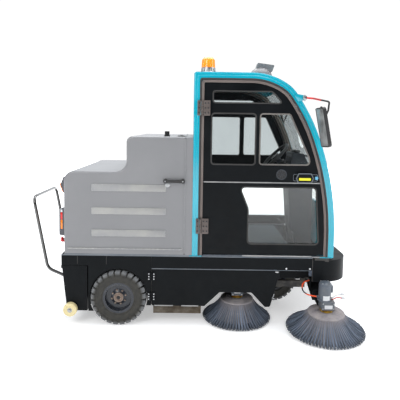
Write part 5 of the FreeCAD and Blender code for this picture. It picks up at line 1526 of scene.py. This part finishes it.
makeRollers()
print("rollers done")

# roof, mirrors and front
roofTrim = {"beacon": (0.10625, -0.420), "lamp": (0.52425, -0.200), "face": 1.854}
mirrorTrim = {"centre": (0.89425, -0.690, 1.478), "half": (0.010, 0.0625, 0.1375), "lean": -11.0,
    "turn": 10.0}


def buildBeaconRibs(bm):
    x, y = roofTrim["beacon"]
    z = roofTrim["face"] + 0.050
    for c, s in circleSteps(24):
        addRod(bm, (x + 0.0487 * c, y + 0.0487 * s, z), (x + 0.0453 * c, y + 0.0453 * s, z + 0.056), 0.0017,
            6)


def buildBeaconBands(bm):
    x, y = roofTrim["beacon"]
    z = roofTrim["face"]
    for c, s in circleSteps(24):
        addRod(bm, (x + 0.0520 * c, y + 0.0520 * s, z + 0.014), (x + 0.0505 * c, y + 0.0505 * s, z + 0.038),
            0.0020, 6)
    addTurned(bm, [(0.049, 0.0480), (0.0525, 0.0475), (0.0525, 0.0430), (0.0495, 0.0425)], (x, y, z),
        (0, 0, 1), 48)


def buildRoofLampTrim(bm):
    x, y = roofTrim["lamp"]
    z = roofTrim["face"]
    addTurned(bm, [(0.0930, 0.004), (0.0968, 0.0045), (0.0968, 0.0075), (0.0925, 0.0085)], (x, y, z),
        (0, 0, 1), 64)


def mirrorFrame():
    lean = Matrix.Rotation(math.radians(mirrorTrim["lean"]), 4, "Y")
    return Matrix.Translation(mirrorTrim["centre"]) @ lean @ Matrix.Rotation(math.radians(mirrorTrim["turn"]),
        4, "Z")


# pane let into the back of the mirror, modelled square and tilted as the housing is
def buildMirrorGlass(bm):
    hx, hy, hz = mirrorTrim["half"]
    own = bmesh.new()
    addBlock(own, (-hx - 0.0012, -hy + 0.008, -hz + 0.008), (-hx + 0.002, hy - 0.008, hz - 0.008), 0.001)
    bmesh.ops.transform(own, matrix=mirrorFrame(), verts=own.verts)
    joinMesh(bm, own)


# rubber rim round the pane
def buildMirrorRim(bm):
    hx, hy, hz = mirrorTrim["half"]
    own = bmesh.new()
    for sign in (-1, 1):
        addRod(own, (-hx, sign * (hy - 0.006), -hz + 0.006), (-hx, sign * (hy - 0.006), hz - 0.006), 0.003,
            10)
        addRod(own, (-hx, -hy + 0.006, sign * (hz - 0.006)), (-hx, hy - 0.006, sign * (hz - 0.006)), 0.003,
            10)
    addRod(own, (-0.004, -0.02, hz - 0.002), (-0.004, -0.02, hz + 0.006), 0.007, 12, 0.001)
    bmesh.ops.transform(own, matrix=mirrorFrame(), verts=own.verts)
    joinMesh(bm, own)


def buildMirrorClamp(bm):
    addBlock(bm, (0.7735, -0.5800, 1.6715), (0.8015, -0.5620, 1.6985), 0.003)
    addRod(bm, (0.7875, -0.5710, 1.6600), (0.7875, -0.5710, 1.7060), 0.0055, 12, 0.001)
    addRod(bm, (0.7945, -0.5640, 1.6610), (0.7945, -0.5640, 1.6660), 0.0080, 6)


# shrink sleeve on the mirror's arm, near its clamp
def buildMirrorSleeve(bm):
    addTube(bm, [(0.8005, -0.5805, 1.6838), (0.8420, -0.6060, 1.6778), (0.8850, -0.6480, 1.6645)], 0.0072,
        4)


def buildMirrorFoot(bm):
    points = [(0.7100, 1.7020), (0.7380, 1.7105), (0.8000, 1.7000), (0.8000, 1.6700), (0.7440, 1.6580)]
    addPlate(bm, points, [0.004, 0.006, 0.006, 0.006, 0.004], -0.5640, 0.0030, 0.001)


# parked wiper at the foot of the windscreen
def buildWiper(bm):
    addRod(bm, (1.028, -0.05, 1.085), (1.045, -0.05, 1.090), 0.014, 24, 0.002)
    addTube(bm, [(1.044, -0.05, 1.090), (1.046, 0.06, 1.120), (1.040, 0.22, 1.150), (1.036, 0.30, 1.162)],
        0.005, 3, smooth=True)
    addTube(bm, [(1.040, 0.02, 1.126), (1.038, 0.20, 1.146), (1.032, 0.44, 1.170)], 0.0045, 3, smooth=True)


# black rubber round the windscreen, seen from the front
def buildScreenSeal(bm):
    points = []
    line = cabLine(0.012, 0.0, 2)
    low, high = 1.235, 1.765
    for x, _, z in line:
        if low < z < high and x > 0.5:
            points.append((x + 0.001, z))
    for y in (-0.516, 0.516):
        addTube(bm, [(x, y, z) for x, z in points], 0.007, 2)
    for x, z in (points[0], points[-1]):
        addTube(bm, [(x, -0.516, z), (x, 0.516, z)], 0.007, 2)


def makeRoof():
    makePieces("chassis", (
        ("beacon_ribs", buildBeaconRibs, "amberLens", "amber_lens", False),
        ("beacon_bands", buildBeaconBands, "zinc", "lamp_silver", False),
        ("roof_lamp_trim", buildRoofLampTrim, "roofGrey", "roof_grey", False),
        ("mirror_glass", buildMirrorGlass, "mirrorGlass", "lamp_silver", True),
        ("mirror_rims", buildMirrorRim, "sealRubber", "black_plastic", True),
        ("mirror_clamps", buildMirrorClamp, "zinc", "lamp_silver", True),
        ("mirror_sleeves", buildMirrorSleeve, "redPlastic", "black_plastic", True),
        ("mirror_feet", buildMirrorFoot, "tealPaint", "teal_paint", True),
        ("wiper", buildWiper, "blackPlastic", "black_plastic", False),
        ("screen_seal", buildScreenSeal, "sealRubber", "black_plastic", False)))


makeRoof()
print("roof and front done")

# driver's place
seatShape = {"cushion": ("seat_cushion", 0.42, 0.035), "back": ("seat_back", 0.45, 0.030)}


# a crowned pad whose sides pull in between its corners
def buildPad(bm, low, high, crown, pinch):
    addBlock(bm, low, high)
    bmesh.ops.subdivide_edges(bm, edges=bm.edges[:], cuts=11, use_grid_fill=True)
    low, high = Vector(low), Vector(high)
    middle, half = (low + high) / 2, (high - low) / 2
    for vert in bm.verts:
        local = [(vert.co[k] - middle[k]) / half[k] for k in range(3)]
        thin = min(range(3), key=lambda k: half[k])
        wide = [k for k in range(3) if k != thin]
        bulge = (1 - local[wide[0]] ** 4) * (1 - local[wide[1]] ** 4)
        vert.co[thin] += half[thin] * (bulge - 1) * crown * local[thin]
        for k, other in ((wide[0], wide[1]), (wide[1], wide[0])):
            vert.co[k] -= local[k] * half[k] * pinch * (1 - local[other] ** 2) * abs(local[k]) ** 3
            vert.co[k] -= local[k] * half[k] * 0.05 * local[thin] ** 4
        wrinkle = noise.noise(vert.co * 9.0) * 0.0022
        vert.co[thin] += wrinkle * bulge


def makeSeat():
    for key, (node, crown, pinch) in seatShape.items():
        low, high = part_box(node)
        bm = bmesh.new()
        buildPad(bm, low, high, crown, pinch)
        obj = finishPiece(bm, f"seat_{key}_pad", "vinyl", "chassis", sharp=60)
        smoother = obj.modifiers.new("smoother", "SUBSURF")
        smoother.levels = smoother.render_levels = 1
        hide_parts(node)


def buildMat(bm):
    addBlock(bm, (0.42, -0.505, 0.5255), (0.79, 0.505, 0.5335), 0.003)
    for i in range(24):
        y = -0.49 + i * 0.0426
        addBlock(bm, (0.43, y, 0.533), (0.78, y + 0.012, 0.5365), 0.001)


# folded boot where the column leaves the console
def buildBellows(bm):
    axis = Vector((-math.sqrt(0.5), 0, math.sqrt(0.5)))
    top = Vector((0.69025, 0, 1.231))
    profile = []
    for i in range(9):
        profile.append((0.030 + 0.020 * (i / 8) + (0.006 if i % 2 else 0.0), -0.060 - 0.012 * i))
    addTurned(bm, profile, top, axis, 36)


def buildPedalPads(bm):
    for x, z, y in ((0.75425, 0.668, -0.060), (0.84425, 0.585, -0.190)):
        for k in range(5):
            t = (k - 2) * 0.013
            mid = Vector((x + 0.007 + t * 0.7 - 0.004, y, z + 0.006 - t * 0.75 + 0.004))
            addRod(bm, mid + Vector((0, -0.032, 0)), mid + Vector((0, 0.032, 0)), 0.0035, 8)


# instrument binnacle and switches on the console
def buildDashTop(bm):
    addBlock(bm, (0.835, -0.080, 1.268), (0.885, 0.080, 1.290), 0.008, 3)
    for i in range(5):
        y = -0.06 + 0.03 * i
        addRod(bm, (0.815, y, 1.225), (0.800, y, 1.228), 0.008, 16, 0.001)
    addRod(bm, (0.795, -0.116, 0.905), (0.795, -0.122, 0.905), 0.008, 12)


def makeInterior():
    makePieces("chassis", (
        ("floor_mat", buildMat, "matBlue", "grey_plastic", False),
        ("column_boot", buildBellows, "blackPlastic", "black_plastic", False),
        ("pedal_pads", buildPedalPads, "windowSeal", "black_plastic", False),
        ("dash_switches", buildDashTop, "blackPlastic", "black_plastic", False)))


makeSeat()
makeInterior()
print("driver's place done")

# floor, sky and lamps
# each lamp: place, aim, size in metres, power and colour
studio = {"floorSize": 30.0, "sky": 1.05, "near": (0.05, 0.052, 0.057), "white": (3.2, 6.5), "glow": 0.42,
    "lamps": {
        "keyLight": ((-2.6, -4.2, 3.2), (0.0, -0.2, 0.8), (2.2, 1.6), 74.0, (1.0, 0.985, 0.96)),
        "topLight": ((0.3, 0.4, 4.2), (0.1, 0.0, 0.6), (3.6, 2.4), 135.0, (0.97, 0.985, 1.0)),
        "sideLight": ((4.2, -1.6, 2.2), (0.6, -0.3, 0.7), (1.4, 2.2), 37.0, (1.0, 1.0, 1.0))}}


def makeFloor():
    bm = bmesh.new()
    bmesh.ops.create_grid(bm, x_segments=1, y_segments=1, size=studio["floorSize"] / 2)
    mesh = bpy.data.meshes.new("floor")
    bm.to_mesh(mesh)
    bm.free()
    obj = bpy.data.objects.new("floor", mesh)
    scene.collection.objects.link(obj)
    material, tree, shader = newMaterial("floorPale")
    grain = placeGroup(tree, "grain", {"Scale": 60.0, "Mottle Scale": 0.6})
    tree.links.new(addMix(tree, grain["Mottle"], (0.86, 0.86, 0.865), (0.885, 0.885, 0.89)),
        shader.inputs["Base Color"])
    shader.inputs["Roughness"].default_value = 0.85
    shader.inputs["Specular IOR Level"].default_value = 0.1
    split = tree.nodes.new("ShaderNodeVectorMath")
    split.operation = "LENGTH"
    tree.links.new(readPlace(tree), split.inputs[0])
    far = addRange(tree, split.outputs["Value"], *studio["white"])
    glow = addMath(tree, "ADD", studio["glow"], far)
    shader.inputs["Emission Color"].default_value = (1.0, 1.0, 1.0, 1.0)
    tree.links.new(glow, shader.inputs["Emission Strength"])
    mesh.materials.append(material)


# white studio: bright overhead and behind, darker on the camera's side, so that dark panels stay dark
def makeSky():
    world = bpy.data.worlds.new("studio")
    scene.world = world
    world.use_nodes = True
    tree = world.node_tree
    tree.nodes.clear()
    split = splitVector(tree, tree.nodes.new("ShaderNodeTexCoord").outputs["Generated"])
    behind = addRange(tree, split["Y"], -0.55, 0.35)
    above = addRange(tree, split["Z"], 0.15, 0.75)
    bright = addMath(tree, "MAXIMUM", behind, above)
    colour = addMix(tree, bright, studio["near"], (0.93, 0.96, 1.0))
    seen = addMix(tree, tree.nodes.new("ShaderNodeLightPath").outputs["Is Camera Ray"], colour,
        (1.0, 1.0, 1.0))
    background = tree.nodes.new("ShaderNodeBackground")
    background.inputs["Strength"].default_value = studio["sky"]
    tree.links.new(seen, background.inputs["Color"])
    output = tree.nodes.new("ShaderNodeOutputWorld")
    tree.links.new(background.outputs[0], output.inputs["Surface"])


def makeLamp(name, place, target, size, power, colour):
    data = bpy.data.lights.new(name, "AREA")
    data.shape = "RECTANGLE"
    data.size, data.size_y = size
    data.energy = power
    data.color = colour
    obj = bpy.data.objects.new(name, data)
    aim = Vector(target) - Vector(place)
    obj.matrix_world = Matrix.Translation(place) @ aim.to_track_quat("-Z", "Y").to_matrix().to_4x4()
    scene.collection.objects.link(obj)


def makeStudio():
    makeFloor()
    makeSky()
    for name, lamp in studio["lamps"].items():
        makeLamp(name, *lamp)
    scene.view_settings.view_transform = "Standard"


makeStudio()
print("studio lit")

bpy.context.view_layer.update()
